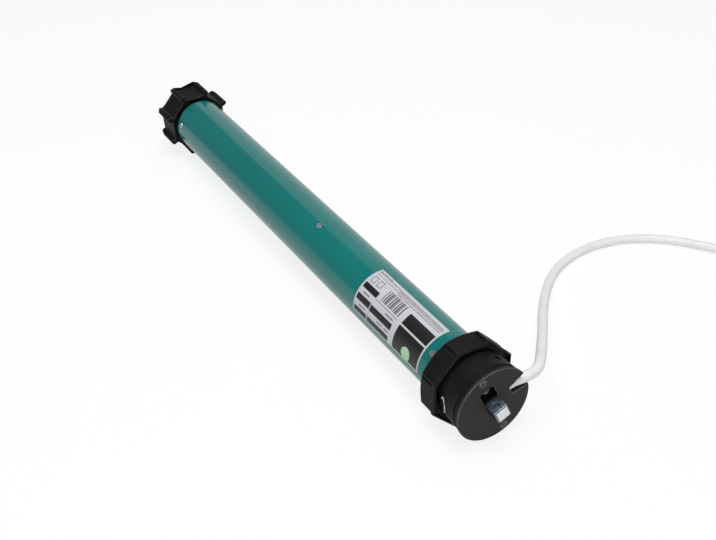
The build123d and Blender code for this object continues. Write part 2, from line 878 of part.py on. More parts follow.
def capacitor_holder():
    """Cage of two side rails, a front ring and a rear plate."""
    outer = tube_inner_radius - open_gap
    inner = capacitor_radius + small_gap
    rails = (Circle(outer) - Circle(inner)) & Rectangle(2 * outer, holder_rail_width)
    cage = prism(rails, capacitor_rear, frame_rear)
    cage += ring(outer, inner, capacitor_front - holder_ring, capacitor_front)
    return as_mounted(cage + ring(outer, holder_wire_hole, holder_rear, capacitor_rear))


def end_shield(plate_end, way):
    """Bearing plate of the motor, with a rim over the end turns and a boss for the bush."""
    def span(start, length):
        ends = (plate_end + way * start, plate_end + way * (start + length))
        return (min(ends), max(ends))
    body = ring(inner_fit_radius, bush_outer + fit_gap, *span(0, shield_plate))
    rim_inner = inner_fit_radius - shield_rim_wall
    body += ring(inner_fit_radius, rim_inner, *span(shield_plate, overhang_length))
    boss_length = bush_length - shield_plate
    return body + ring(bush_outer + boss_wall, bush_outer + fit_gap, *span(shield_plate, boss_length))


def stator_stack():
    """Laminated stator with slots that open to the bore."""
    section = Circle(inner_fit_radius) - Circle(stator_bore)
    mouth = Rectangle(slot_circle - stator_bore + overrun, slot_mouth)
    opening = Pos((stator_bore + slot_circle) / 2, 0) * mouth + Pos(slot_circle, 0) * Circle(slot_radius)
    for slot in range(slot_count):
        section -= Rot(0, 0, slot * 360 / slot_count) * opening
    stack = prism(section, stator_rear, stator_front)
    return as_mounted(stack) - screw_bores(*stator_tube_screws())


def stator_windings():
    """Copper windings: two end rings joined by the bars in the slots."""
    places = [polar(slot_circle, slot * 360 / slot_count) for slot in range(slot_count)]
    bars = [Pos(*place) * Circle(slot_radius - small_gap) for place in places]
    winding = prism(Sketch() + bars, stator_rear, stator_front)
    for end in (stator_front, stator_rear - end_turn_length):
        winding += ring(end_turn_outer, end_turn_inner, end, end + end_turn_length)
    return as_mounted(winding)


def rotor_core():
    """Cage rotor on the shaft."""
    bore = shaft_radius + fit_gap
    core = ring(rotor_radius, bore, stator_rear, stator_front)
    core += ring(rotor_ring_radius, bore, stator_front, stator_front + rotor_ring_length)
    return core + ring(rotor_ring_radius, bore, stator_rear - rotor_ring_length, stator_rear)


def rotor_shaft():
    """Motor shaft, whose end is the first sun gear."""
    sun_rear = gearbox_front - shake_gap - stage_widths[0]
    shaft = rod(shaft_radius, gearbox_front - small_gap, holder_rear - shake_gap)
    return shaft + prism(gear_outline(sun_teeth, planet_module), sun_rear, gearbox_front - small_gap)


def bearing_bushes():
    """Sintered bushes: two of the motor shaft and one of the output shaft."""
    bore = shaft_radius + run_gap
    front = ring(bush_outer, bore, holder_rear - bush_length, holder_rear)
    rear = ring(bush_outer, bore, shield_rear, shield_rear + bush_length)
    outer = output_radius + output_bush_wall
    return [front, rear, ring(outer, output_radius + run_gap, cap_rear, cap_front)]


def brake_disc():
    """Brake disc on the motor shaft."""
    return ring(brake_disc_radius, shaft_radius + fit_gap, disc_rear, disc_front)


def spring_outer():
    """Outer radius of the brake spring."""
    return magnet_bore + 2 * small_gap + spring_wall + open_gap


def brake_armature():
    """Plate that the spring presses towards the brake disc and the magnet pulls away."""
    return ring(armature_radius, magnet_bore, armature_rear, armature_front)


def brake_magnet():
    """Brake magnet with a recess for the spring."""
    magnet = ring(gearbox_radius, magnet_bore, magnet_rear, shield_rear)
    pocket = rod(spring_outer() + small_gap, magnet_rear - overrun, magnet_rear + spring_pocket_depth)
    return magnet - pocket


def brake_spring():
    """Spring between magnet and armature, pressed together."""
    inner = spring_outer() - spring_wall
    return ring(spring_outer(), inner, magnet_rear + small_gap, magnet_rear + spring_pocket_depth)


def gearbox_input_plate():
    """Plate between brake and gearbox."""
    bore = tip_of(sun_teeth, planet_module) + small_gap
    return ring(gearbox_radius, bore, gearbox_front, input_front)


def gearbox_housing():
    """Gearbox housing with the fixed ring gear along its bore."""
    section = Circle(gearbox_radius) - gear_outline(ring_teeth, planet_module, True)
    return prism(section, cap_front, gearbox_front)


def stage_front(stage):
    """Station where the planets of a stage begin."""
    passed = sum(stage_widths[:stage]) + sum(carrier_plates[:stage])
    return gearbox_front - shake_gap - passed - 2 * stage * shake_gap


def planet(stage, number):
    """One planet gear of a stage."""
    angle = number * 360 / planet_count
    front = stage_front(stage)
    place = Pos(*polar(planet_circle, angle))
    section = gear_outline(planet_teeth, planet_module, False, angle + 180 / planet_teeth)
    section -= Circle(planet_pin_radius + run_gap)
    return prism(place * section, front - stage_widths[stage], front)


def carrier(stage):
    """Planet carrier of a stage: plate and pins."""
    planets_rear = stage_front(stage) - stage_widths[stage]
    plate_front = planets_rear - shake_gap
    body = rod(carrier_radius, plate_front - carrier_plates[stage], plate_front)
    for number in range(planet_count):
        place = polar(planet_circle, number * 360 / planet_count)
        body += rod(planet_pin_radius, plate_front, stage_front(stage), *place)
    return body


def sun_carrier(stage):
    """Carrier that ends in the sun gear of the next stage."""
    plate_rear_face = stage_front(stage + 1) + shake_gap
    sun_rear = stage_front(stage + 1) - stage_widths[stage + 1]
    return carrier(stage) + prism(gear_outline(sun_teeth, planet_module), sun_rear, plate_rear_face)


def output_section(gap=0.0):
    """Round output shaft with two flats, grown by a gap."""
    flats = Rectangle(2 * output_flat + 2 * gap, 4 * output_radius)
    return Circle(output_radius + gap) & flats


def output_carrier():
    """Last carrier with the output shaft, flats for the wheel and a groove for its clip."""
    last = len(stage_widths) - 1
    body = carrier(last)
    plate_back = cap_front + shake_gap
    body += rod(output_radius, cap_rear - wheel_gap / 2, plate_back)
    shaft = prism(output_section(), shaft_end, cap_rear)
    bottom = output_radius - clip_groove
    groove = ring(2 * output_radius, bottom, clip_rear - small_gap, clip_front + small_gap)
    return body + (shaft - groove)


def end_cap():
    """Plug in the far end of the tube, with a flange and the bore of the output bush."""
    outer = output_radius + output_bush_wall + fit_gap
    cap = ring(plug_radius, outer, tube_rear, cap_front) + ring(tube_radius, outer, cap_rear, tube_rear)
    return cap - screw_bores(*cap_tube_screws())


def drive_wheel():
    """Octagonal wheel with eight rounded ribs, front recess, web, spokes and hub."""
    side_angle = 360 / crown_side_count
    flat_radius = wheel_corner_radius * math.cos(math.radians(half_side))
    outline = Rot(0, 0, wheel_turn) * RegularPolygon(wheel_corner_radius, crown_side_count)
    inner = Rot(0, 0, wheel_turn) * RegularPolygon(wheel_corner_radius - wheel_wall, crown_side_count)
    spokes = Circle(wheel_hub_radius)
    rib_radius = wheel_rib_width / 2
    for side in range(crown_side_count):
        turn = Rot(0, 0, wheel_turn + side * side_angle)
        length = wheel_rib_tip - rib_radius - flat_radius + wheel_wall
        middle = wheel_rib_tip - rib_radius - length / 2
        outline += turn * (Pos(middle, 0) * Rectangle(length, wheel_rib_width))
        outline += turn * (Pos(wheel_rib_tip - rib_radius, 0) * Circle(rib_radius))
        spokes += turn * (Pos(flat_radius / 2, 0) * Rectangle(flat_radius, wheel_spoke))
    body = prism(outline, wheel_rear, wheel_front)
    lead_start = wheel_rear + wheel_lead_length
    body &= lathe((
        (wheel_rear, 0),
        (wheel_front, 0),
        (wheel_front, wheel_rib_tip + overrun),
        (lead_start, wheel_rib_tip),
        (wheel_rear, wheel_lead_radius),
    ))
    web_front = wheel_front - wheel_front_recess
    web_rear = web_front - wheel_web
    recess_radius = flat_radius - wheel_recess_margin
    body -= ring(recess_radius, wheel_hub_radius, web_front, wheel_front + overrun)
    body -= prism(inner - spokes, wheel_rear - overrun, web_rear)
    body -= prism(inner, wheel_rear - overrun, hub_rear)
    return body - prism(output_section(fit_gap), wheel_rear - overrun, wheel_front + overrun)


def wheel_clip():
    """Open spring clip in the shaft's groove."""
    section = Circle(clip_radius) - Circle(output_radius - clip_groove + fit_gap)
    section -= Pos(clip_radius, 0) * Rectangle(2 * clip_radius - output_radius, clip_mouth)
    return prism(section, clip_rear, clip_front)


def corner_radii(points):
    """Largest even arc at each corner of a route: a share of the shorter run beside it."""
    radii = []
    for before, at, after in zip(points, points[1:], points[2:]):
        first = Vector(*at) - Vector(*before)
        second = Vector(*after) - Vector(*at)
        half_turn = math.radians(first.get_angle(second) / 2)
        radii.append(run_share * min(first.length, second.length) / math.tan(half_turn))
    return radii


def cable_route():
    """Points of the free cable: straight out of the head, then as it lies."""
    along = Vector(0, *polar(1, head_turn))
    start = Vector(cable_station, 0, 0) + along * cable_start
    second = start + along * cable_straight
    return [tuple(start), tuple(second), *cable_points]


def tube_along(path, radius):
    """Round tube along a path."""
    return sweep(Plane(origin=path @ 0, z_dir=path % 0) * Circle(radius), path=path)


def cord_run():
    """Free stretch of the mains cable."""
    points = cable_route()
    radii = corner_radii(points)
    path = FilletPolyline(*points, radius=radii)
    tube = tube_along(path, cable_diameter / 2)
    volume_share = tube.volume / (math.pi * (cable_diameter / 2) ** 2 * path.length)
    print("cable arc radii", [round(radius, 1) for radius in radii])
    print("cable run length", round(path.length, 1), "volume share", round(volume_share, 5))
    return tube


def coil_frame():
    """Centre of the storage coil and the directions of its entry and of its way across."""
    last = Vector(*cable_points[-1])
    heading = (last - Vector(*cable_points[-2])).normalized()
    outward = Vector(-heading.Y, heading.X, 0).normalized()
    centre = last + heading * coil_lead - outward * coil_radius
    return centre, heading, outward


def coil_inner_radius():
    """Radius of the half turn that climbs to the second layer, a little inside the others."""
    return coil_radius - coil_half_turns * coil_pitch / 2 - coil_climb_inset


def coil_stations():
    """Ends of the coil's half turns: a spiral inwards, a climbing half turn and a spiral outwards."""
    centre, heading, outward = coil_frame()
    step = coil_pitch / 2
    radii = [coil_radius - step * turn for turn in range(coil_half_turns)]
    radii.append(coil_inner_radius())
    places = [(radius, 0) for radius in radii]
    places += [(radius, coil_pitch) for radius in radii[:0:-1]]
    stations = []
    for number, (radius, height) in enumerate(places):
        side = 1 if number % 2 == 0 else -1
        stations.append((centre + outward * (side * radius) + Vector(0, 0, height), heading * side))
    return stations


def coil_path():
    """Straight lead in, half turns as two quarter arcs each, straight lead out."""
    stations = coil_stations()
    edges = [Line(tuple(stations[0][0] - stations[0][1] * coil_lead), tuple(stations[0][0]))]
    for (start, leaving), (end, arriving) in zip(stations, stations[1:]):
        reach = (end - start).length / 2
        middle = (start + leaving * reach + end - arriving * reach) * (1 / 2)
        edges.append(TangentArc(tuple(start), tuple(middle), tangent=tuple(leaving)))
        edges.append(TangentArc(tuple(middle), tuple(end), tangent=tuple(edges[-1] % 1)))
    end, arriving = stations[-1]
    edges.append(Line(tuple(end), tuple(end + arriving * coil_lead)))
    return Wire([edge.edge() for edge in edges])


def least_self_gap(path, radius):
    """Least gap between turns, measured on points along the path."""
    step = radius / 4
    count = int(path.length / step)
    points = [path @ (number / count) for number in range(count + 1)]
    apart = int(math.pi * cable_diameter / step)
    least = path.length
    for number, point in enumerate(points):
        for other in points[number + apart::3]:
            least = min(least, (point - other).length)
    return least - 2 * radius


def cord_coil():
    """Rest of the cable, put away in a round coil of two layers."""
    path = coil_path()
    gap = least_self_gap(path, cable_diameter / 2)
    print("coil length", round(path.length, 1), "least gap to itself", round(gap, 3))
    return tube_along(path, cable_diameter / 2)


def cord_tie():
    """Strap round the bundle of turns, on the side away from the cable's entry."""
    centre, heading, outward = coil_frame()
    radius = cable_diameter / 2
    near = coil_inner_radius() - radius - tie_gap
    far = coil_radius - coil_pitch / 2 + radius + tie_gap
    low = -radius - tie_gap
    high = coil_pitch + radius + tie_gap
    plane = Plane(origin=centre - heading * (tie_width / 2), x_dir=outward * -1, z_dir=heading)
    width, height = far - near, high - low
    strap = Rectangle(width + 2 * tie_thickness, height + 2 * tie_thickness) - Rectangle(width, height)
    lift = Pos(0, 0, (low + high) / 2)
    return lift * extrude(plane * Pos((near + far) / 2, 0) * strap, tie_width)


def cord_cores():
    """Four bare cores at the end of the cable."""
    end, arriving = coil_stations()[-1]
    face = Plane(origin=end + arriving * coil_lead, z_dir=arriving)
    places = [(across, height) for across in (-1, 1) for height in (-1, 1)]
    cores = [Pos(core_spread * across, core_spread * height) * Circle(core_radius) for across, height in places]
    return [extrude(face * core, core_length) for core in cores]


def write(name, shape):
    """Write one node, a shape or a group of solids."""
    solids = shape if isinstance(shape, list) else shape.solids()
    whole = solids[0] if len(solids) == 1 else Compound(children=list(solids))
    export_step(whole, f"parts/{name}.step")


os.makedirs("parts", exist_ok=True)

pieces = (
    motor_tube, tube_screws, head_plate, head_housing, head_screws, neck_screws, square_pin,
    pin_screw, limit_housing, cable_plug, lead_sleeve, crown_ring, limit_pinion, limit_gear_first,
    limit_gear_second, limit_axles, switch_frame, switch_board, terminal_block, limit_switches,
    capacitor, capacitor_holder, stator_stack, stator_windings, rotor_core, rotor_shaft,
    bearing_bushes, brake_disc, brake_armature, brake_magnet, brake_spring, gearbox_input_plate,
    gearbox_housing, output_carrier, end_cap, drive_wheel, wheel_clip, cord_run, cord_coil,
    cord_tie, cord_cores,
)
for piece in pieces:
    write(piece.__name__, piece())

for way, angle in zip(("up", "down"), limit_screw_angles):
    write(f"limit_screw_{way}", limit_screw(angle))
for way, front in zip(("up", "down"), (cam_up_front, cam_down_front)):
    write(f"cam_wheel_{way}", cam_wheel(front))
for way, station in zip(("up", "down"), plunger_stations()):
    write(f"switch_plunger_{way}", switch_plunger(station))
for stage, order in enumerate(("first", "second", "third")):
    for number in range(planet_count):
        write(f"{order}_planet_{number + 1}", planet(stage, number))
for stage, order in enumerate(("first", "second")):
    write(f"{order}_carrier", sun_carrier(stage))
write("front_end_shield", end_shield(holder_rear, -1))
write("rear_end_shield", end_shield(shield_rear, 1))
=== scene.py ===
"""Tubular motor for a roller blind: finishes, printed sticker, mains cable and studio."""

import logging
from collections.abc import Callable
from dataclasses import dataclass, field
from enum import Enum
from math import cos, pi, radians, sin
from typing import ClassVar

import bmesh
import bpy
from bpy.types import Curve, Material, Mesh, NodeSocket, NodeTree, Object, World
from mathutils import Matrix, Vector


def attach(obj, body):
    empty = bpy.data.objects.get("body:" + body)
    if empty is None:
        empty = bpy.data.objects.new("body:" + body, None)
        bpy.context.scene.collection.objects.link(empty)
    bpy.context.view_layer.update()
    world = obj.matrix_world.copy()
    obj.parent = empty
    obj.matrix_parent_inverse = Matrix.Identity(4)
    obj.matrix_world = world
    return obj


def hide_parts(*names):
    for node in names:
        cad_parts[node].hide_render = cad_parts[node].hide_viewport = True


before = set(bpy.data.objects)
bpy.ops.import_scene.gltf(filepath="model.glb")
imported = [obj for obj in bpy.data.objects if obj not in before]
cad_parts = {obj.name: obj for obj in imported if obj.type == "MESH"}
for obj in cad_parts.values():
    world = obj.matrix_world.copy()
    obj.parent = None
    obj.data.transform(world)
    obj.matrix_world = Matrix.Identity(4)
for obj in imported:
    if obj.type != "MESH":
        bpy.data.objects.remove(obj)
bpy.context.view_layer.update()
LOG = logging.getLogger("blind motor")

MM = 0.001
SAME_PLACE = 1e-6
HEAD_TURN = radians(25.0)
EDGE_MARK = "rounded_edge"
FULL = 255
GAMMA = 2.2


class Body(Enum):
    """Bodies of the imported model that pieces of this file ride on."""

    MOTOR = "motor"
    CROWN = "crown"
    OUTPUT = "output"


def operator(operation: str, first: bool = True) -> Callable[["Value", "Value | float"], "Value"]:
    """Make the method that answers one Python operator.

    Args:
        operation: name of the Math node's operation.
        first: whether the value itself is the first operand, as it isn't in reflected forms.

    Returns:
        The method, which takes the other operand.
    """
    return lambda value, other: value.math(operation, other, first=first)


class Value:
    """A node socket that takes part in Python expressions."""

    def __init__(self, nodes: "Nodes", socket: NodeSocket) -> None:
        """Wrap one output socket of a node tree."""
        self.nodes = nodes
        self.socket = socket

    def math(self, operation: str, *others: "Value | float", first: bool = True) -> "Value":
        """Add a Math node for one operation.

        Args:
            operation: name of the Math node's operation.
            others: the other operands, sockets or numbers.
            first: whether this value is the first operand.

        Returns:
            The result as a value.
        """
        operands = (self, *others) if first else (*others, self)
        return self.nodes.add("ShaderNodeMath", {"operation": operation}, dict(enumerate(operands)))

    __add__ = __radd__ = operator("ADD")
    __mul__ = __rmul__ = operator("MULTIPLY")
    __sub__, __rsub__ = operator("SUBTRACT"), operator("SUBTRACT", first=False)
    __truediv__, __rtruediv__ = operator("DIVIDE"), operator("DIVIDE", first=False)
    __gt__, __lt__ = operator("GREATER_THAN"), operator("LESS_THAN")

    def smooth(self, low: float, high: float) -> "Value":
        """Smooth step from low to high."""
        return self.nodes.add("ShaderNodeMapRange", {"interpolation_type": "SMOOTHSTEP"},
                              {"Value": self, "From Min": low, "From Max": high})

    def onto(self, least: float, more: float) -> "Value":
        """A least value and, with this as share, what comes on top."""
        return least + more * self


class Nodes:
    """A node tree that is filled by calls."""

    def __init__(self, tree: NodeTree) -> None:
        """Take a tree and clear it."""
        self.tree = tree
        tree.nodes.clear()

    def add(self, kind: str, settings: dict | None = None, inputs: dict | None = None,
            output: str | int = 0) -> Value:
        """Add a node.

        Args:
            kind: the node's type name.
            settings: properties, set before the sockets.
            inputs: values or links, by socket name or number.
            output: the output that is returned.

        Returns:
            The chosen output as a value.
        """
        node = self.tree.nodes.new(kind)
        for name, setting in (settings or {}).items():
            setattr(node, name, setting)
        for key, given in (inputs or {}).items():
            if isinstance(given, Value):
                self.tree.links.new(given.socket, node.inputs[key])
            else:
                node.inputs[key].default_value = given
        return Value(self, node.outputs[output])

    def split(self, vector: Value) -> list[Value]:
        """Parts of a vector along X, Y and Z."""
        node = self.add("ShaderNodeSeparateXYZ", None, {"Vector": vector}).socket.node
        return [Value(self, output) for output in node.outputs]

    def vector(self, **parts: Value | float) -> Value:
        """Vector from its parts X, Y and Z."""
        return self.add("ShaderNodeCombineXYZ", None, parts)


class Shader(Nodes):
    """Shader nodes of a material or a world."""

    BAND_SCALE = pi / 10
    BAND_WAVE = 0.6

    def __init__(self, name: str, world: bool = False) -> None:
        """Start a material or a world with a bare node tree.

        Args:
            name: its name.
            world: whether it is a world.
        """
        self.owner = (bpy.data.worlds if world else bpy.data.materials).new(name)
        self.owner.use_nodes = True
        self.output = f"ShaderNodeOutput{'World' if world else 'Material'}"
        super().__init__(self.owner.node_tree)

    def place(self, scale: tuple[float, ...] = (1.0, 1.0, 1.0)) -> Value:
        """Object coordinates, stretched by a scale along each axis."""
        coordinates = self.add("ShaderNodeTexCoord", output="Object")
        return self.add("ShaderNodeMapping", None, {"Vector": coordinates, "Scale": scale})

    def noise(self, size: float, detail: float = 2.0, vector: Value | None = None) -> Value:
        """Noise from zero to one, with patches of a size in metres and a number of finer layers."""
        inputs = {"Vector": vector or self.place(), "Scale": 1 / size, "Detail": detail}
        return self.add("ShaderNodeTexNoise", None, inputs, "Fac")

    def edges(self) -> Value:
        """One on the rounded edges of a piece, zero on its faces."""
        return self.add("ShaderNodeAttribute", {"attribute_name": EDGE_MARK}, output="Fac")

    def rays(self, kind: str) -> Value:
        """One for the rays of a kind, such as Camera or Glossy."""
        return self.add("ShaderNodeLightPath", output=f"Is {kind} Ray")

    def bands(self, period: float) -> Value:
        """Bands from zero to one, each of a width in metres, that follow each other along X."""
        inputs = {"Vector": self.place(), "Scale": self.BAND_SCALE / period,
                  "Distortion": self.BAND_WAVE}
        return self.add("ShaderNodeTexWave", {"bands_direction": "X"}, inputs, "Fac")

    def mix(self, share: Value, low: tuple | Value, high: tuple | Value) -> Value:
        """Colour between a first one, at share zero, and a second one, at share one."""
        return self.add("ShaderNodeMix", {"data_type": "RGBA"}, {0: share, 6: low, 7: high}, 2)

    def bump(self, height: Value, strength: float, distance: float) -> Value:
        """Normal for a height from zero to one that is a distance in metres deep."""
        inputs = {"Height": height, "Strength": strength, "Distance": distance}
        return self.add("ShaderNodeBump", None, inputs, "Normal")

    def either(self, share: Value, low: Value, high: Value) -> Value:
        """Mix of two surfaces."""
        return self.add("ShaderNodeMixShader", None, {0: share, 1: low, 2: high})

    def close(self, surface: Value) -> Material | World:
        """Link the surface to the output.

        Args:
            surface: the shader that everything shows.

        Returns:
            The finished material or world.
        """
        output = self.tree.nodes.new(self.output)
        self.tree.links.new(surface.socket, output.inputs["Surface"])
        return self.owner

    def finish(self, **sockets: "Value | float | tuple") -> Material:
        """Close the material with a Principled shader, whose inputs have underscores for blanks."""
        inputs = {name.replace("_", " "): given for name, given in sockets.items()}
        return self.close(self.add("ShaderNodeBsdfPrincipled", None, inputs, "BSDF"))


def rgba(shown: str, shade: float = 1.0) -> tuple[float, ...]:
    """Linear colour from a display colour in hex, darkened by a factor."""
    return (*(shade * (channel / FULL) ** GAMMA for channel in bytes.fromhex(shown)), 1.0)


@dataclass(frozen=True)
class Finish:
    """Two colours under a cloudy noise, and a fine relief. Most finishes are cases of this.

    Colours are display values in hex, and nodes names the CAD nodes that have the finish. A noise
    is a size with a number of finer layers, a relief is a strength with a depth, and rougher is
    what cloud and grain add to the roughness.
    """

    name: str
    nodes: str
    colour: str
    second: str | None = None
    roughness: float = 0.4
    metallic: float = 0.0
    # Edge colour: a lighter colour on the rounded edges, partly rubbing and partly a painted
    # highlight.
    edge_rub_and_highlight: str | None = None
    cloud: tuple = (3.0 * MM, 3.0)
    grain: tuple = (0.6 * MM, 3.0)
    rougher: tuple = (0.2, 0.0)
    spread: tuple | None = (0.3, 0.8)
    waviness: float = 0.0
    relief: tuple = (0.2, 0.04 * MM)
    FIXED: ClassVar[dict] = {}
    SHADE: ClassVar[float] = 0.93
    RUB_AND_HIGHLIGHT_SPREAD: ClassVar[tuple] = (0.2, 0.6)
    POLISH: ClassVar[float] = 0.14

    def build(self) -> Material:
        """Make the material.

        Returns:
            The finish, polished on the edges that a piece marks, where an edge colour adds rubbing
            and a painted highlight.
        """
        shader = Shader(self.name)
        cloud, grain = shader.noise(*self.cloud), shader.noise(*self.grain)
        second = rgba(self.second) if self.second else rgba(self.colour, self.SHADE)
        share = cloud.smooth(*self.spread) if self.spread else cloud
        colour = shader.mix(share, rgba(self.colour), second)
        rough = self.roughness + self.rougher[0] * cloud + self.rougher[1] * grain
        # Painted highlight: the edge colour lightens the rounded edges in cloudy patches, partly as
        # rubbing.
        if self.edge_rub_and_highlight:
            edge = shader.edges() * cloud.smooth(*self.RUB_AND_HIGHLIGHT_SPREAD)
            colour = shader.mix(edge, colour, rgba(self.edge_rub_and_highlight))
            rough = rough - self.POLISH * edge
        height = self.waviness * cloud + (1 - self.waviness) * grain
        return shader.finish(Base_Color=colour, Metallic=self.metallic, Roughness=rough,
                             Normal=shader.bump(height, *self.relief), **self.FIXED)


@dataclass(frozen=True)
class PaintedSteel(Finish):
    """Stove enamel on a drawn tube, faintly cloudy, with orange peel."""

    roughness: float = 0.17
    cloud: tuple = (60 * MM, 3.0)
    grain: tuple = (1.6 * MM, 2.0)
    rougher: tuple = (0.05, 0.03)
    spread: tuple = (0.35, 0.75)
    relief: tuple = (0.12, 0.05 * MM)
    FIXED: ClassVar[dict] = {"Coat_Weight": 0.1, "Coat_Roughness": 0.08, "Specular_IOR_Level": 0.42}


@dataclass(frozen=True)
class MouldedPlastic(Finish):
    """Spark-eroded moulded plastic with rubbed patches and polished edges, which a given edge
    colour lightens as a painted highlight with some rubbing.
    """

    roughness: float = 0.42
    cloud: tuple = (14 * MM, 3.0)
    grain: tuple = (0.45 * MM, 3.0)
    rougher: tuple = (0.16, 0.1)
    spread: tuple = (0.5, 0.8)
    relief: tuple = (0.3, 0.04 * MM)
    FIXED: ClassVar[dict] = {"Specular_IOR_Level": 0.14}


@dataclass(frozen=True)
class PlatedSteel(Finish):
    """Zinc-plated, cast or blackened metal with cloudy plating."""

    roughness: float = 0.3
    metallic: float = 1.0
    cloud: tuple = (3.0 * MM, 4.0)
    grain: tuple = (0.35 * MM, 2.0)
    rougher: tuple = (0.22, 0.0)
    relief: tuple = (0.22, 0.03 * MM)


@dataclass(frozen=True)
class CableSheath(Finish):
    """White flexible sheath of a mains cable, slightly wavy, with handling marks."""

    roughness: float = 0.38
    cloud: tuple = (9 * MM, 2.0)
    rougher: tuple = (0.14, 0.0)
    spread: tuple = (0.45, 0.85)
    waviness: float = 0.7
    relief: tuple = (0.2, 0.12 * MM)


@dataclass(frozen=True)
class PrintedPaper(Finish):
    """Laminated paper or ink of the rating sticker, with a faint fibre."""

    roughness: float = 0.35
    cloud: tuple = (0.8 * MM, 3.0)
    grain: tuple = (0.8 * MM, 3.0)
    rougher: tuple = (0.1, 0.0)
    spread: tuple | None = None
    relief: tuple = (0.08, 0.02 * MM)


@dataclass(frozen=True)
class BandedMetal:
    """Metal in fine layers: stacked sheets or wound wire."""

    name: str
    nodes: str
    colour: str
    gap: str
    period: float
    roughness: float = 0.4
    cloud: tuple = (4.0 * MM, 3.0)
    rougher: float = 0.2
    gap_spread: tuple = (0.0, 0.45)
    relief: tuple = (0.5, 0.1 * MM)

    def build(self) -> Material:
        """Make the material.

        Returns:
            Metal whose layers are set apart by thin dark gaps.
        """
        shader = Shader(self.name)
        band = shader.bands(self.period)
        rough = shader.noise(*self.cloud).onto(self.roughness, self.rougher)
        colour = shader.mix(band.smooth(*self.gap_spread), rgba(self.gap), rgba(self.colour))
        return shader.finish(Base_Color=colour, Metallic=1.0, Roughness=rough,
                             Normal=shader.bump(band, *self.relief))


@dataclass(frozen=True)
class PinSteel:
    """Square pin: foot painted dark as the shade of its recess, plated sides and a bright sheared
    end.
    """

    name: str
    nodes: str
    recess_shade: str
    side: str
    end: str
    recess_shade_spread: tuple = (-2.1 * MM, 1.9 * MM)
    end_rear: float = 9.9 * MM
    cloud: tuple = (2.2 * MM, 4.0)
    streak: tuple = (0.3 * MM, 2.0)
    drawn: tuple = (0.15, 1.0, 1.0)
    metallic: tuple = (0.55, 0.4)
    roughness: tuple = (0.24, 0.24)
    relief: tuple = (0.25, 0.03 * MM)

    def build(self) -> Material:
        """Make the material.

        Returns:
            Steel that changes along the pin, with drawn streaks and a painted highlight on the
            plated edges.
        """
        shader = Shader(self.name)
        along = shader.split(shader.place())[0]
        cloud = shader.noise(*self.cloud)
        streak = shader.noise(*self.streak, shader.place(self.drawn))
        # Painted shade: the foot inside the head's recess is dark, blending into the plated sides.
        plated = along.smooth(*self.recess_shade_spread)
        colour = shader.mix(plated, rgba(self.recess_shade), rgba(self.side))
        # The sheared end is bright steel; the plated edges take the same bright colour as a painted
        # highlight.
        for bright in (along > self.end_rear, shader.edges() * plated):
            colour = shader.mix(bright, colour, rgba(self.end))
        return shader.finish(Base_Color=colour, Metallic=plated.onto(*self.metallic),
                             Roughness=cloud.onto(*self.roughness),
                             Normal=shader.bump(streak, *self.relief))


@dataclass(frozen=True)
class CoreInsulation:
    """Four cores side by side: brown, black, blue, and green with yellow."""

    name: str
    nodes: str
    colours: tuple
    centre: tuple = (-0.7 * MM, 325.1 * MM, -17.4 * MM)
    across: tuple = (-0.4847, 0.8747, 0.0)
    stripe: float = 2.4 * MM
    stripe_edge: tuple = (0.45, 0.55)
    grain: tuple = (0.6 * MM, 3.0)
    roughness: tuple = (0.4, 0.12)
    relief: tuple = (0.15, 0.05 * MM)

    def build(self) -> Material:
        """Make the material.

        Returns:
            Soft plastic, coloured by the core's place in the square of four.
        """
        shader = Shader(self.name)
        offset = sum(place * way for place, way in zip(self.centre, self.across))
        aside = shader.add("ShaderNodeVectorMath", {"operation": "DOT_PRODUCT"},
                           {0: shader.place(), 1: self.across}, "Value") > offset
        upper = shader.split(shader.place())[2] > self.centre[2]
        brown, black, blue, green, yellow = map(rgba, self.colours)
        stripes = shader.bands(self.stripe).smooth(*self.stripe_edge)
        striped = shader.mix(stripes, green, yellow)
        low, high = shader.mix(aside, brown, black), shader.mix(aside, blue, striped)
        grain = shader.noise(*self.grain)
        return shader.finish(Base_Color=shader.mix(upper, low, high),
                             Roughness=grain.onto(*self.roughness),
                             Normal=shader.bump(grain, *self.relief))


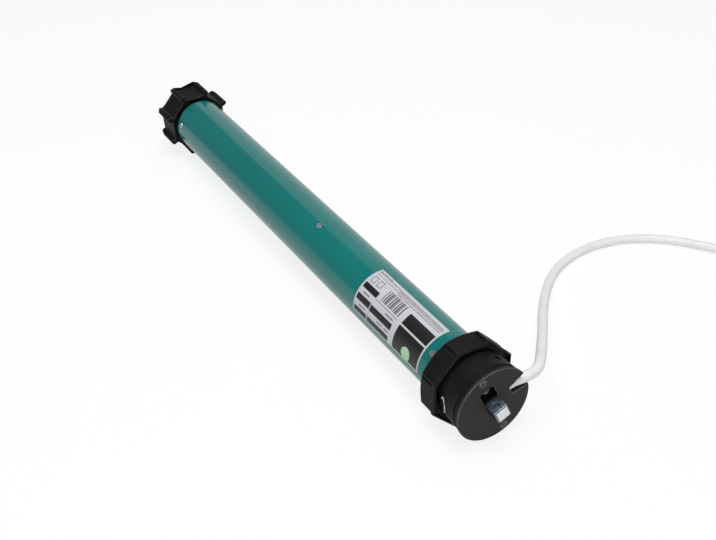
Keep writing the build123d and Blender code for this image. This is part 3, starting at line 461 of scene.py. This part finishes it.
RECIPES = (
    PaintedSteel("tube_enamel", "motor_tube", "027470", "047975"),
    # The lighter edge colours of the two black mouldings are painted highlights on the rounded
    # edges, partly rubbing.
    MouldedPlastic("black_moulding", "", "1d1c1c", "242323", edge_rub_and_highlight="626161"),
    MouldedPlastic("plate_black", "head_plate", "393737", "3f3d3d", 0.46,
                   grain=(0.3 * MM, 3.0), edge_rub_and_highlight="807e7e"),
    MouldedPlastic("gear_plastic", "limit_pinion limit_gear_first limit_gear_second cam_wheel_up "
                   "cam_wheel_down", "e2ded0", "ece8dc", 0.4),
    MouldedPlastic("grey_moulding", "terminal_block limit_switches capacitor_holder switch_frame",
                   "686a6e", "74767a", 0.5),
    MouldedPlastic("board_laminate", "switch_board", "1e683e", "247648", 0.35),
    MouldedPlastic("capacitor_can", "capacitor", "d6d6d2", "e0e0dc", 0.3),
    PinSteel("pin_steel", "square_pin", "1c1c1e", "707c88", "eceef0"),
    PlatedSteel("zinc_plating", "tube_screws pin_screw", "d6dbe2", "a8b0bc", 0.26),
    PlatedSteel("blackened_steel", "head_screws limit_screw_up limit_screw_down",
                "807e7e", "464444", 0.24, 0.9),
    PlatedSteel("bright_steel", "neck_screws limit_axles rotor_shaft brake_disc brake_armature "
                "brake_spring first_carrier second_carrier output_carrier wheel_clip "
                "gearbox_housing gearbox_input_plate", "bebebe", "969698", 0.28),
    PlatedSteel("sintered_bronze", "bearing_bushes", "aa8454", "8c6a42", 0.5),
    PlatedSteel("die_cast_zinc", "front_end_shield rear_end_shield", "babcc0", "a0a2a8", 0.5),
    BandedMetal("laminated_iron", "stator_stack rotor_core brake_magnet", "7c7c80",
                "3a3a3e", 0.5 * MM),
    BandedMetal("enamelled_copper", "stator_windings", "c86c3a", "602812", 0.42 * MM, 0.3),
    CableSheath("cable_sheath", "cable_plug lead_sleeve cord_run cord_coil", "f6f6f6", "eeeeed"),
    CoreInsulation("core_insulation", "cord_cores", (
        "683a20", "1e1d1d", "285aaa", "28823c", "e2cc28")),
    PrintedPaper("sticker_paper", "", "d4d4da"),
    PrintedPaper("sticker_ink", "", "1c1c1e"),
    PrintedPaper("sticker_grey_ink", "", "5c585e"),
    PrintedPaper("sticker_green_ink", "", "b5e2b9"),
    PrintedPaper("print_white", "", "ececec", roughness=0.5),
)


class Finishes(dict):
    """All finishes of the motor by name."""

    def __init__(self) -> None:
        """Build every material once."""
        super().__init__({recipe.name: recipe.build() for recipe in RECIPES})

    def dress_nodes(self) -> None:
        """Give every CAD node its finish, black moulding where none is named."""
        named = {node: recipe.name for recipe in RECIPES for node in recipe.nodes.split()}
        for name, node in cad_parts.items():
            usual = "bright_steel" if "_planet_" in name else "black_moulding"
            node.data.materials.clear()
            node.data.materials.append(self[named.get(name, usual)])


def link(name: str, data: Mesh | Curve) -> Object:
    """Put a mesh or a curve in the scene.

    Args:
        name: name of the new object.
        data: its mesh or curve.

    Returns:
        The object.
    """
    piece = bpy.data.objects.new(name, data)
    bpy.context.scene.collection.objects.link(piece)
    return piece


def settle(piece: Object, body: Body, slot: str, *nodes: str) -> Object:
    """Let a finished piece ride on its body and report it.

    Args:
        piece: the piece.
        body: the body that it moves with.
        slot: material slot of the record; not used.
        nodes: CAD nodes that it stands for.

    Returns:
        The same piece.
    """
    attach(piece, body.value)
    if nodes:
        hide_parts(*nodes)
    LOG.info("%s rides on %s", piece.name, body.value)
    return piece


def flatten(piece: Object) -> None:
    """Turn a piece's modifiers into plain mesh.

    Args:
        piece: the piece.
    """
    graph = bpy.context.evaluated_depsgraph_get()
    mesh = bpy.data.meshes.new_from_object(piece.evaluated_get(graph))
    piece.modifiers.clear()
    piece.data = mesh


def smooth(mesh: Mesh, crease: float) -> None:
    """Shade a mesh smooth, sharp at edges above an angle in degrees."""
    mesh.polygons.foreach_set("use_smooth", [True] * len(mesh.polygons))
    mesh.set_sharp_from_angle(angle=radians(crease))


@dataclass
class EdgedPart:
    """A CAD solid that gets the small edge radii of the real moulding, in millimetres."""

    node: str
    width: float
    finish: str = "black_moulding"
    slot: str = "black_plastic"
    body: Body = Body.MOTOR
    segments: int = 2
    crease: float = 35.0
    EDGE_SLOT: ClassVar[int] = 1
    FLAT: ClassVar[float] = radians(0.05)

    def build(self, finishes: Finishes) -> Object:
        """Copy the node's mesh, merge it and round its edges.

        Args:
            finishes: the motor's finishes.

        Returns:
            The finished piece, which replaces the node.
        """
        shape = bmesh.new()
        shape.from_mesh(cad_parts[self.node].data)
        bmesh.ops.remove_doubles(shape, verts=shape.verts, dist=SAME_PLACE)
        bmesh.ops.dissolve_limit(shape, angle_limit=self.FLAT, verts=shape.verts, edges=shape.edges)
        name = f"{self.node}_edged"
        mesh = bpy.data.meshes.new(name)
        shape.to_mesh(mesh)
        shape.free()
        for _ in (0, self.EDGE_SLOT):
            mesh.materials.append(finishes[self.finish])
        smooth(mesh, self.crease)
        piece = link(name, mesh)
        if self.width:
            edge = piece.modifiers.new("edge_radius", "BEVEL")
            edge.width = self.width * MM
            edge.segments = self.segments
            edge.limit_method = "ANGLE"
            edge.angle_limit = radians(self.crease)
            edge.miter_outer = "MITER_ARC"
            edge.material = self.EDGE_SLOT
        piece.modifiers.new("flat_faces", "WEIGHTED_NORMAL").keep_sharp = True
        flatten(piece)
        self.mark_edges(piece.data)
        return settle(piece, self.body, self.slot, self.node)

    def mark_edges(self, mesh: Mesh) -> None:
        """Mark the faces of the edge radii, where finishes paint rubbing and a highlight, and leave
        one material.

        Args:
            mesh: mesh whose edge radii have a slot of their own.
        """
        slots = [face.material_index for face in mesh.polygons]
        marks = mesh.attributes.new(EDGE_MARK, "FLOAT", "FACE")
        marks.data.foreach_set("value", [float(slot) for slot in slots])
        mesh.polygons.foreach_set("material_index", [0] * len(slots))
        mesh.materials.pop(index=self.EDGE_SLOT)


CORD_TIE = EdgedPart("cord_tie", 0.25)
EDGED_PARTS = (
    EdgedPart("motor_tube", 0.0, "tube_enamel", "tube_paint"),
    EdgedPart("head_plate", 0.22, "plate_black", "plate_black"),
    EdgedPart("head_housing", 0.25),
    EdgedPart("square_pin", 0.3, "pin_steel", "zinc"),
    EdgedPart("end_cap", 0.3),
    EdgedPart("crown_ring", 0.45, body=Body.CROWN),
    EdgedPart("drive_wheel", 0.5, body=Body.OUTPUT),
)


class Tree(Nodes):
    """A Geometry Nodes tree with named inputs."""

    def __init__(self, name: str) -> None:
        """Start a tree that takes and gives one geometry.

        Args:
            name: name of the node group.
        """
        super().__init__(bpy.data.node_groups.new(name, "GeometryNodeTree"))
        self.keys: dict[str, str] = {}
        for way in ("INPUT", "OUTPUT"):
            self.tree.interface.new_socket("Geometry", in_out=way, socket_type="NodeSocketGeometry")
        self.entry = self.tree.nodes.new("NodeGroupInput")
        self.taken = Value(self, self.entry.outputs[0])

    def given(self, name: str, kind: str = "NodeSocketFloat") -> Value:
        """Add a named input.

        Args:
            name: the input's name.
            kind: type of its socket.

        Returns:
            The value that it has inside the tree.
        """
        item = self.tree.interface.new_socket(name, in_out="INPUT", socket_type=kind)
        self.keys[name] = item.identifier
        return Value(self, self.entry.outputs[name])

    def join(self, *parts: Value) -> Value:
        """Join geometries.

        Args:
            parts: the geometries.

        Returns:
            All of them as one.
        """
        whole = self.tree.nodes.new("GeometryNodeJoinGeometry")
        for part in parts:
            self.tree.links.new(part.socket, whole.inputs[0])
        return Value(self, whole.outputs[0])

    def shift(self, geometry: Value, height: Value) -> Value:
        """Move a geometry along Z."""
        return self.add("GeometryNodeTransform", None,
                        {"Geometry": geometry, "Translation": self.vector(Z=height)})

    def close(self, geometry: Value, finish: Value) -> None:
        """Realize instances, set the material and end the tree.

        Args:
            geometry: the geometry so far.
            finish: the material.
        """
        real = self.add("GeometryNodeRealizeInstances", None, {"Geometry": geometry})
        dressed = self.add("GeometryNodeSetMaterial", None, {"Geometry": real, "Material": finish})
        end = self.tree.nodes.new("NodeGroupOutput")
        self.tree.links.new(dressed.socket, end.inputs[0])

    def grow(self, piece: Object, crease: float, **values: object) -> Object:
        """Run the tree on an object and keep the result as plain mesh.

        Args:
            piece: the object.
            crease: angle in degrees above which an edge is shaded sharp.
            values: values of the named inputs, with underscores for blanks.

        Returns:
            The same object.
        """
        modifier = piece.modifiers.new(self.tree.name, "NODES")
        modifier.node_group = self.tree
        for name, value in values.items():
            modifier[self.keys[name.replace("_", " ")]] = value
        flatten(piece)
        smooth(piece.data, crease)
        return piece


class ScrewTree(Tree):
    """Domed cross-recess screws, one on each vertex of a mesh, along its axis attribute."""

    HEAD_SIDES = 40
    HEAD_RINGS = 10
    SHANK_SIDES = 24
    SHOULDER_START = 0.55
    SHOULDER_GAIN = 2.2
    SHOULDER_CURVE = 2.6
    SHOULDER_DRAW = 0.13
    RECESS_DEPTH = 0.62
    CROSS_SPAN = 1.3
    CROSS_WIDTH = 0.34

    def __init__(self) -> None:
        """Build the tree."""
        super().__init__("cross_recess_screws")
        radius, height = self.given("Head Radius"), self.given("Head Height")
        length, shank = self.given("Shank Length"), self.given("Shank Radius")
        finish = self.given("Finish", "NodeSocketMaterial")
        head = self.add("GeometryNodeMeshBoolean", {"operation": "DIFFERENCE", "solver": "EXACT"},
                        {"Mesh 1": self.turned(radius, height),
                         "Mesh 2": self.cross(radius, height), "Self Intersection": True})
        pin = self.add("GeometryNodeMeshCylinder", None,
                       {"Vertices": self.SHANK_SIDES, "Radius": shank, "Depth": length})
        whole = self.join(head, self.shift(pin, length * -0.5))
        axis = self.add("GeometryNodeInputNamedAttribute", {"data_type": "FLOAT_VECTOR"},
                        {"Name": "axis"})
        turn = self.add("FunctionNodeAlignRotationToVector", {"axis": "Z"}, {"Vector": axis})
        self.close(self.add("GeometryNodeInstanceOnPoints", None,
                            {"Points": self.taken, "Instance": whole, "Rotation": turn}), finish)

    def turned(self, radius: Value, height: Value) -> Value:
        """Head of revolution: straight wall, rounded shoulder and flat top.

        Args:
            radius: radius of the head.
            height: height of the head.

        Returns:
            A closed mesh that stands on the seat.
        """
        grid = self.add("GeometryNodeMeshCone", None,
                        {"Vertices": self.HEAD_SIDES, "Side Segments": self.HEAD_RINGS,
                         "Fill Segments": 1, "Radius Top": radius, "Radius Bottom": radius,
                         "Depth": height})
        place = self.add("GeometryNodeInputPosition")
        above = (self.split(place)[2] / height - self.SHOULDER_START).math("MAXIMUM", 0.0)
        shoulder = (above * self.SHOULDER_GAIN).math("POWER", self.SHOULDER_CURVE)
        drawn = 1.0 - shoulder * self.SHOULDER_DRAW
        moved = self.add("ShaderNodeVectorMath", {"operation": "MULTIPLY"},
                         {0: place, 1: self.vector(X=drawn, Y=drawn, Z=1.0)})
        return self.add("GeometryNodeSetPosition", None, {"Geometry": grid, "Position": moved})

    def cross(self, radius: Value, height: Value) -> Value:
        """Cross that cuts the recess.

        Args:
            radius: radius of the head.
            height: height of the head.

        Returns:
            Two crossed blocks at the top of the head.
        """
        span, width = radius * self.CROSS_SPAN, radius * self.CROSS_WIDTH
        tall = height * self.RECESS_DEPTH * 2.0
        blocks = [self.add("GeometryNodeMeshCube", None, {"Size": self.vector(X=x, Y=y, Z=tall)})
                  for x, y in ((span, width), (width, span))]
        return self.join(*(self.shift(block, height) for block in blocks))


def side_seat(station: float, angle: float, radius: float = 21.0) -> tuple[tuple, tuple]:
    """Seat and axis of a screw in the tube's side, in millimetres and degrees."""
    way = (0.0, cos(radians(angle)), sin(radians(angle)))
    return (station, radius * way[1], radius * way[2]), way


def face_seat(station: float, across: float, height: float) -> tuple[tuple, tuple]:
    """Seat and axis of a screw in the turned head's face, in millimetres."""
    cosine, sine = cos(HEAD_TURN), sin(HEAD_TURN)
    return (station, across * cosine - height * sine, across * sine + height * cosine), (1, 0, 0)


@dataclass
class ScrewSet:
    """Cross-recess screws of one size with their seats and axes, in millimetres."""

    name: str
    node: str
    finish: str
    slot: str
    seats: tuple
    head_radius: float
    head_height: float
    shank_length: float = 3.0
    shank_radius: float = 1.4
    crease: float = 30.0

    def build(self, tree: ScrewTree, finishes: Finishes) -> None:
        """Grow the screws on their seats, as one piece.

        Args:
            tree: the screw tree.
            finishes: the motor's finishes.
        """
        mesh = bpy.data.meshes.new(self.name)
        mesh.from_pydata([Vector(place) * MM for place, _ in self.seats], [], [])
        axis = mesh.attributes.new("axis", "FLOAT_VECTOR", "POINT")
        for entry, (_, way) in zip(axis.data, self.seats):
            entry.vector = way
        piece = tree.grow(link(self.name, mesh), self.crease, Finish=finishes[self.finish],
                          Head_Radius=self.head_radius * MM, Head_Height=self.head_height * MM,
                          Shank_Radius=self.shank_radius * MM, Shank_Length=self.shank_length * MM)
        settle(piece, Body.MOTOR, self.slot, self.node)


SCREW_SETS = (
    ScrewSet("tube_pan_screws", "tube_screws", "zinc_plating", "steel", tuple(
        side_seat(station, angle + half) for station, angle in (
            (-45.6, 134.3), (-207.7, 108.6), (-438.0, 161.6)) for half in (0, 180)), 2.4, 2.1),
    ScrewSet("plate_pan_screws", "head_screws", "blackened_steel", "black_steel", tuple(
        face_seat(-1.0, 0.0, height) for height in (23.4, -23.4)), 2.6, 0.9, 12.0),
    ScrewSet("foot_pan_screw", "pin_screw", "zinc_plating", "zinc",
             (face_seat(-4.5, 0.5, 11.7),), 2.2, 1.4, 8.5),
)


class RollTree(Tree):
    """Rolls a flat layout round the motor's axis and gives it a thickness."""

    SEAM = 2e-6

    def __init__(self) -> None:
        """Build the tree."""
        super().__init__("print_round_tube")
        radius, taper = self.given("Radius"), self.given("Taper")
        thickness, start = self.given("Thickness"), self.given("Start Angle")
        finish = self.given("Finish", "NodeSocketMaterial")
        along, arc, lift = self.split(self.add("GeometryNodeInputPosition"))
        turn = start + arc / radius
        reach = radius + lift + along * taper
        rolled = self.vector(X=along, Y=reach * turn.math("COSINE"), Z=reach * turn.math("SINE"))
        sheet = self.add("GeometryNodeSetPosition", None,
                         {"Geometry": self.taken, "Position": rolled})
        sheet = self.add("GeometryNodeFlipFaces", None, {"Mesh": sheet})
        raised = self.add("GeometryNodeExtrudeMesh", {"mode": "FACES"},
                          {"Mesh": sheet, "Offset Scale": thickness, "Individual": False})
        under = self.add("GeometryNodeFlipFaces", None, {"Mesh": sheet})
        self.close(self.add("GeometryNodeMergeByDistance", None,
                            {"Geometry": self.join(raised, under), "Distance": self.SEAM}), finish)


@dataclass(frozen=True)
class Wrap:
    """A surface round the motor's axis that prints lie on, in millimetres and degrees."""

    radius: float
    start: float
    taper: float = 0.0


@dataclass
class Print:
    """Flat layout of one ink or paper, drawn along the motor and round it, in millimetres.

    Its quads run counter-clockwise, so that the film faces outward.
    """

    name: str
    step: float = 1.2
    quads: list = field(default_factory=list)
    CREASE: ClassVar[float] = 40.0
    SIDES: ClassVar[int] = 40

    def block(self, along: tuple, across: tuple) -> "Print":
        """Add a rectangle.

        Args:
            along: first and last station.
            across: first and last arc length.

        Returns:
            This layout.
        """
        count = max(1, round((across[1] - across[0]) / self.step))
        rows = [across[0] + (across[1] - across[0]) * row / count for row in range(count + 1)]
        for low, high in zip(rows, rows[1:]):
            self.quads.append(((along[0], low), (along[1], low), (along[1], high),
                               (along[0], high)))
        return self

    def disc(self, centre: tuple, radius: float) -> "Print":
        """Add a disc.

        Args:
            centre: station and arc length.
            radius: its radius.

        Returns:
            This layout.
        """
        rings = max(1, round(radius / self.step))
        turns = [2 * pi * side / self.SIDES for side in range(self.SIDES + 1)]
        loops = [[(centre[0] + radius * ring / rings * cos(turn),
                   centre[1] + radius * ring / rings * sin(turn)) for turn in turns]
                 for ring in range(rings + 1)]
        for low, high in zip(loops, loops[1:]):
            for side in range(self.SIDES):
                self.quads.append((low[side], high[side], high[side + 1], low[side + 1]))
        return self

    def stroke(self, points: list, width: float) -> "Print":
        """Add a line of one width through points.

        Args:
            points: station and arc length of each point.
            width: width of the line.

        Returns:
            This layout.
        """
        sides = []
        ends = [points[0], *points, points[-1]]
        for before, point, after in zip(ends, points, ends[2:]):
            way = Vector((after[0] - before[0], after[1] - before[1])).normalized() * (width / 2)
            sides.append(((point[0] - way.y, point[1] + way.x),
                          (point[0] + way.y, point[1] - way.x)))
        for (left, right), (next_left, next_right) in zip(sides, sides[1:]):
            self.quads.append((right, next_right, next_left, left))
        return self

    def build(self, tree: RollTree, wrap: Wrap, lift: float, thickness: float,
              finish: Material, slot: str) -> None:
        """Roll the layout on its surface, as a film that is one piece.

        Args:
            tree: the rolling tree.
            wrap: the surface.
            lift: height above the surface.
            thickness: thickness of the film.
            finish: material.
            slot: material slot of the record.
        """
        shape = bmesh.new()
        for quad in self.quads:
            shape.faces.new([shape.verts.new((along * MM, arc * MM, lift * MM))
                             for along, arc in quad])
        bmesh.ops.remove_doubles(shape, verts=shape.verts, dist=SAME_PLACE)
        mesh = bpy.data.meshes.new(self.name)
        shape.to_mesh(mesh)
        shape.free()
        piece = tree.grow(link(self.name, mesh), self.CREASE, Radius=wrap.radius * MM,
                          Taper=wrap.taper, Thickness=thickness * MM,
                          Start_Angle=radians(wrap.start), Finish=finish)
        settle(piece, Body.MOTOR, slot)


@dataclass
class RatingSticker:
    """Sticker on the tube with plain fields, rules and bars.

    Fields and lines are pairs of stations and arc lengths. A row of dashes is an arc length with
    its first and last station, and an entry is a short line from station to station at an arc.
    """

    finishes: Finishes
    wrap: Wrap = Wrap(22.5, 85.0)
    ends: tuple = (-133.1, -51.9)
    height: float = 39.3
    gap: float = 0.005
    film: float = 0.09
    ink: float = 0.03
    dark_fields: tuple = (
        ((-82.0, -53.2), (10.2, 19.2)), ((-82.4, -53.2), (20.6, 38.2)),
        ((-131.4, -114.2), (14.9, 19.3)), ((-131.6, -115.4), (24.2, 28.8)),
        ((-114.4, -88.0), (24.6, 29.2)), ((-131.8, -116.0), (33.8, 38.0)),
        ((-114.8, -88.4), (33.8, 38.0)), ((-114.2, -87.0), (19.5, 19.8)),
        ((-131.6, -53.6), (5.1, 5.4)))
    rule_step: float = 0.4
    dash_rows: tuple = ((1.6, -131.4, -117.0), (2.7, -131.4, -54.0), (3.8, -105.0, -54.0),
                        (6.5, -104.0, -54.0))
    dash_lengths: tuple = (2.4, 4.1, 5.8, 7.5)
    dash_stride: int = 7
    row_stride: int = 5
    dash_height: float = 0.55
    dash_gap: float = 0.8
    entries: tuple = ((-127.0, -120.0, 21.4), (-99.0, -89.6, 21.9), (-126.4, -118.6, 31.0),
                      (-103.0, -96.6, 31.0), (-94.4, -89.4, 31.0))
    entry_height: float = 0.8
    bars: int = 11
    first_bar: float = -109.4
    bar_pitch: float = 2.05
    bar_widths: tuple = (0.7, 1.15, 1.6)
    bar_span: tuple = (8.2, 18.0)
    boxes: tuple = (-130.0, -122.6)
    box_top: float = 7.5
    box_size: float = 4.9
    box_line: float = 0.5
    disc_centre: tuple = (-66.9, 34.0)
    disc_radius: float = 4.9

    def rules(self) -> Print:
        """Draw even bars, two empty boxes and dashes where the real sticker is printed small.

        Returns:
            The layout of the grey ink.
        """
        fine = Print("sticker_fine_rules", self.rule_step)
        for row, (arc, start, end) in enumerate(self.dash_rows):
            dash = 0
            while start < end:
                turn = dash * self.dash_stride + row * self.row_stride
                length = self.dash_lengths[turn % len(self.dash_lengths)]
                fine.block((start, min(start + length, end)), (arc, arc + self.dash_height))
                start += length + self.dash_gap
                dash += 1
        for *along, arc in self.entries:
            fine.block(along, (arc, arc + self.entry_height))
        for bar in range(self.bars):
            start = self.first_bar + self.bar_pitch * bar
            fine.block((start, start + self.bar_widths[bar % len(self.bar_widths)]), self.bar_span)
        bottom = self.box_top + self.box_size
        for left in self.boxes:
            for start in (left, left + self.box_size - self.box_line):
                fine.block((start, start + self.box_line), (self.box_top + self.box_line, bottom))
            for arc in (self.box_top, bottom):
                fine.block((left, left + self.box_size), (arc, arc + self.box_line))
        return fine

    def build(self, tree: RollTree) -> None:
        """Build the paper, the dark fields, the rules and a plain green disc.

        Args:
            tree: the rolling tree.
        """
        paper = Print("sticker_paper").block(self.ends, (0.0, self.height))
        disc = Print("sticker_green_disc").disc(self.disc_centre, self.disc_radius)
        dark = Print("sticker_dark_fields")
        for place in self.dark_fields:
            dark.block(*place)
        for layout, lift, thickness, finish, slot in (
                (paper, self.gap, self.film, "sticker_paper", "cable_white"),
                (dark, self.film, self.ink, "sticker_ink", "plate_black"),
                (self.rules(), self.film, self.ink, "sticker_grey_ink", "plate_black"),
                (disc, self.film + self.ink, self.ink, "sticker_green_ink", "cable_white")):
            layout.build(tree, self.wrap, lift, thickness, self.finishes[finish], slot)


@dataclass
class TurnArrow:
    """White bent arrow with a dot, printed on the head's tapered side."""

    finishes: Finishes
    wrap: Wrap = Wrap(26.902, 168.0, 0.0494)
    sweep: float = 36.0
    start: tuple = (-18.6, 1.6)
    bow: float = 3.0
    shortening: float = 3.0
    parts: int = 18
    step: float = 0.4
    line: float = 0.75
    barbs: tuple = ((-1.3, 1.9), (-0.1, -0.4), (1.9, 1.3))
    barb_line: float = 0.7
    dot: tuple = (-16.2, 9.0)
    dot_radius: float = 0.9
    lift: float = 0.01
    film: float = 0.04

    def build(self, tree: RollTree) -> None:
        """Draw the arrow and roll it on the housing.

        Args:
            tree: the rolling tree.
        """
        station, arc = self.start
        length = radians(self.sweep) * self.wrap.radius - self.shortening
        shares = [part / self.parts for part in range(self.parts + 1)]
        mark = Print("turn_arrow", self.step)
        mark.stroke([(station + self.bow * sin(pi * share), arc + length * share)
                     for share in shares], self.line)
        mark.stroke([(station + along, arc + across) for along, across in self.barbs],
                    self.barb_line)
        mark.disc(self.dot, self.dot_radius)
        mark.build(tree, self.wrap, self.lift, self.film, self.finishes["print_white"],
                   "cable_white")


@dataclass
class MainsCable:
    """White mains cable: free stretch, then the stored coil, as one spline."""

    finishes: Finishes
    diameter: float = 7.3 * MM
    length: float = 2.2589
    exit_place: tuple = (-5.6, 8.61, 4.015)
    exit_straight: tuple = (-5.6, 15.589, 7.269)
    route: tuple = (
        (-3.2, 23.0, 9.5), (-2.3, 29.4, 10.4), (-3.3, 34.8, 10.7), (-6.1, 39.6, 10.3),
        (-10.6, 44.4, 9.2), (-17.4, 50.8, 6.8), (-29.0, 61.6, 2.4), (-47.5, 78.0, -4.5),
        (-68.0, 95.7, -11.6), (-90.0, 116.0, -18.7), (-110.0, 137.5, -24.0),
        (-125.0, 159.0, -26.3), (-134.0, 192.0, -26.3), (-130.0, 228.0, -26.3),
        (-111.0, 259.0, -26.0), (-82.0, 281.0, -25.3), (-48.6, 303.1, -25.3),
        (-15.4, 321.5, -25.3),
    )
    coil_radius: float = 54.0
    coil_pitch: float = 7.9
    half_turns: int = 8
    climb_inset: float = 1.6
    coil_lead: float = 7.3
    points_per_half: int = 12
    order: int = 3
    fineness: int = 6

    def coil_stations(self) -> list[tuple[float, float]]:
        """Measure the ends of the coil's half turns.

        Returns:
            Radius and height of each, in millimetres.
        """
        radii = [self.coil_radius - self.coil_pitch / 2 * turn for turn in range(self.half_turns)]
        radii.append(self.coil_radius - self.coil_pitch / 2 * self.half_turns - self.climb_inset)
        return [(radius, 0.0) for radius in radii] + [
            (radius, self.coil_pitch) for radius in radii[:0:-1]]

    def coil_points(self) -> list[Vector]:
        """Place the control points of the coil's turns.

        Returns:
            Points that spiral inwards, climb a layer and spiral out, in millimetres.
        """
        before, last = map(Vector, self.route[-2:])
        heading = (last - before).normalized()
        outward = Vector((-heading.y, heading.x, 0.0)).normalized()
        centre = last + heading * self.coil_lead - outward * self.coil_radius
        stations = self.coil_stations()
        count = self.points_per_half
        outset = 1 / cos(pi / 2 / count)
        points = []
        for number, ((radius, low), (after, high)) in enumerate(zip(stations, stations[1:])):
            side = (-1) ** number
            middle = centre + outward * (side * (radius - after) / 2)
            turn_radius = (radius + after) / 2 * outset
            for step in range(count):
                share = (step + 0.5) / count
                angle = pi * share
                across = side * (outward * cos(angle) + heading * sin(angle))
                rise = Vector((0, 0, low + (high - low) * share))
                points.append(middle + across * turn_radius + rise)
        end_radius, end_height = stations[-1]
        side = (-1) ** (len(stations) - 1)
        end = centre + outward * (side * end_radius) + Vector((0, 0, end_height))
        return points + [end + heading * (side * self.coil_lead)]

    def build(self, tie: Object) -> None:
        """Args:
            tie: the finished tie round the coil; not used.
        """
        route = (self.exit_place, self.exit_straight, *self.route)
        points = [*map(Vector, route), *self.coil_points()]
        data = bpy.data.curves.new("mains_cable", "CURVE")
        data.dimensions = "3D"
        spline = data.splines.new("NURBS")
        spline.points.add(len(points) - 1)
        for point, place in zip(spline.points, points):
            point.co = (*(place * MM), 1.0)
        spline.order_u = self.order
        spline.use_endpoint_u = True
        spline.resolution_u = data.bevel_resolution = self.fineness
        data.bevel_depth = self.diameter / 2
        data.use_fill_caps = True
        data.materials.append(self.finishes["cable_sheath"])
        cable = settle(link("mains_cable", data), Body.MOTOR, "cable_white", "cord_run",
                       "cord_coil")


@dataclass
class Studio:
    """White floor, soft lights and the camera of the photograph."""

    floor_height: float = -30.0 * MM
    floor_half: float = 3.5
    floor_white: float = 0.8
    wall_reach: float = 2.6
    wall_angles: tuple = (95, 174, 4)
    wall_white: float = 1.0
    seen_white: float = 1.04
    mirrored_white: float = 0.8
    paper: tuple = (0.9, 0.9, 0.9, 1.0)
    paper_shade: tuple = (0.88, 0.88, 0.88, 1.0)
    paper_patch: tuple = (40 * MM, 3.0)
    ambient: float = 0.24
    camera_place: tuple = (0.37652, -0.32451, 0.44475)
    camera_turn: tuple = (55.06, 0.0, 59.02)
    lens: float = 53.05
    nearest: float = 0.01
    aim: tuple = (-0.2, 0.0, 0.0)
    lamps: tuple = (("overhead_softbox", (-0.1, -0.1, 1.4), 0.9, 13.0),
                    ("head_softbox", (1.0, -0.5, 0.9), 0.7, 5.0))

    def pale(self, name: str, lit: float) -> Material:
        """White paint that the camera sees as pure white, with its shadows.

        Args:
            name: the material's name.
            lit: share of the plain white that hides the paint's own shading.

        Returns:
            The material.
        """
        shader = Shader(name)
        camera, mirrored, through = map(shader.rays, ("Camera", "Glossy", "Transmission"))
        tint = shader.mix(shader.noise(*self.paper_patch), self.paper, self.paper_shade)
        paint = shader.add("ShaderNodeBsdfDiffuse", None, {"Color": tint})
        strength = self.mirrored_white + (self.seen_white - self.mirrored_white) * camera
        white = shader.add("ShaderNodeEmission", None, {"Strength": strength})
        return shader.close(shader.either((camera + mirrored + through) * lit, paint, white))

    def panel(self, name: str, rows: list, lit: float) -> Object:
        """Add a pale surface of the studio.

        Args:
            name: its name in the studio.
            rows: two rows of points along its edges.
            lit: share of the plain white in its paint.

        Returns:
            The surface.
        """
        panel = link(f"studio_{name}", bpy.data.meshes.new(f"studio_{name}"))
        count = len(rows[0])
        faces = [(step, step + 1, count + step + 1, count + step) for step in range(count - 1)]
        panel.data.from_pydata(rows[0] + rows[1], [], faces)
        panel.data.materials.append(self.pale(f"{name}_paper", lit))
        return panel

    def surroundings(self) -> None:
        """White floor, and a curved backdrop behind the motor that only mirrors and lights."""
        half, reach, height = self.floor_half, self.wall_reach, self.floor_height
        sides = [[(x, y, height) for x in (-half, half)] for y in (-half, half)]
        floor = self.panel("floor", sides, self.floor_white)
        turns = [radians(angle) for angle in range(*self.wall_angles)]
        curves = [[(reach * cos(turn), reach * sin(turn), level) for turn in turns]
                  for level in (height, reach)]
        wall = self.panel("backdrop", curves, self.wall_white)
        wall.visible_camera = False

    def camera(self) -> None:
        """Camera at the photograph's viewing angle."""
        data = bpy.data.cameras.new("studio_camera")
        data.lens = self.lens
        data.clip_start = self.nearest
        camera = link("studio_camera", data)
        camera.location = self.camera_place
        camera.rotation_euler = [radians(angle) for angle in self.camera_turn]
        bpy.context.scene.camera = camera

    def lamp(self, name: str, place: tuple, size: float, power: float) -> None:
        """Add a soft square lamp that points at the motor.

        Args:
            name: the lamp's name.
            place: its place in metres.
            size: edge length in metres.
            power: power in watts.
        """
        data = bpy.data.lights.new(name, "AREA")
        data.size = size
        data.energy = power
        lamp = link(name, data)
        lamp.location = place
        aim = Vector(self.aim) - Vector(place)
        lamp.rotation_euler = aim.to_track_quat("-Z", "Y").to_euler()

    def world(self) -> None:
        """White surroundings for the camera, softer ones for the light."""
        shader = Shader("studio", world=True)
        light, seen = (shader.add("ShaderNodeBackground", None,
                                  {"Color": (1, 1, 1, 1), "Strength": strength})
                       for strength in (self.ambient, 1.0))
        bpy.context.scene.world = shader.close(shader.either(shader.rays("Camera"), light, seen))

    def build(self) -> None:
        """Set up the whole studio."""
        bpy.context.scene.view_settings.view_transform = "Standard"
        self.surroundings()
        self.camera()
        self.world()
        for lamp in self.lamps:
            self.lamp(*lamp)


def main() -> None:
    """Build the scene in order."""
    logging.basicConfig(level=logging.INFO, format="%(message)s")
    Studio().build()
    finishes = Finishes()
    MainsCable(finishes).build(CORD_TIE.build(finishes))
    finishes.dress_nodes()
    for part in EDGED_PARTS:
        part.build(finishes)
    driving = ScrewTree()
    for screws in SCREW_SETS:
        screws.build(driving, finishes)
    rolling = RollTree()
    RatingSticker(finishes).build(rolling)
    TurnArrow(finishes).build(rolling)


if __name__ == "__main__":
    main()
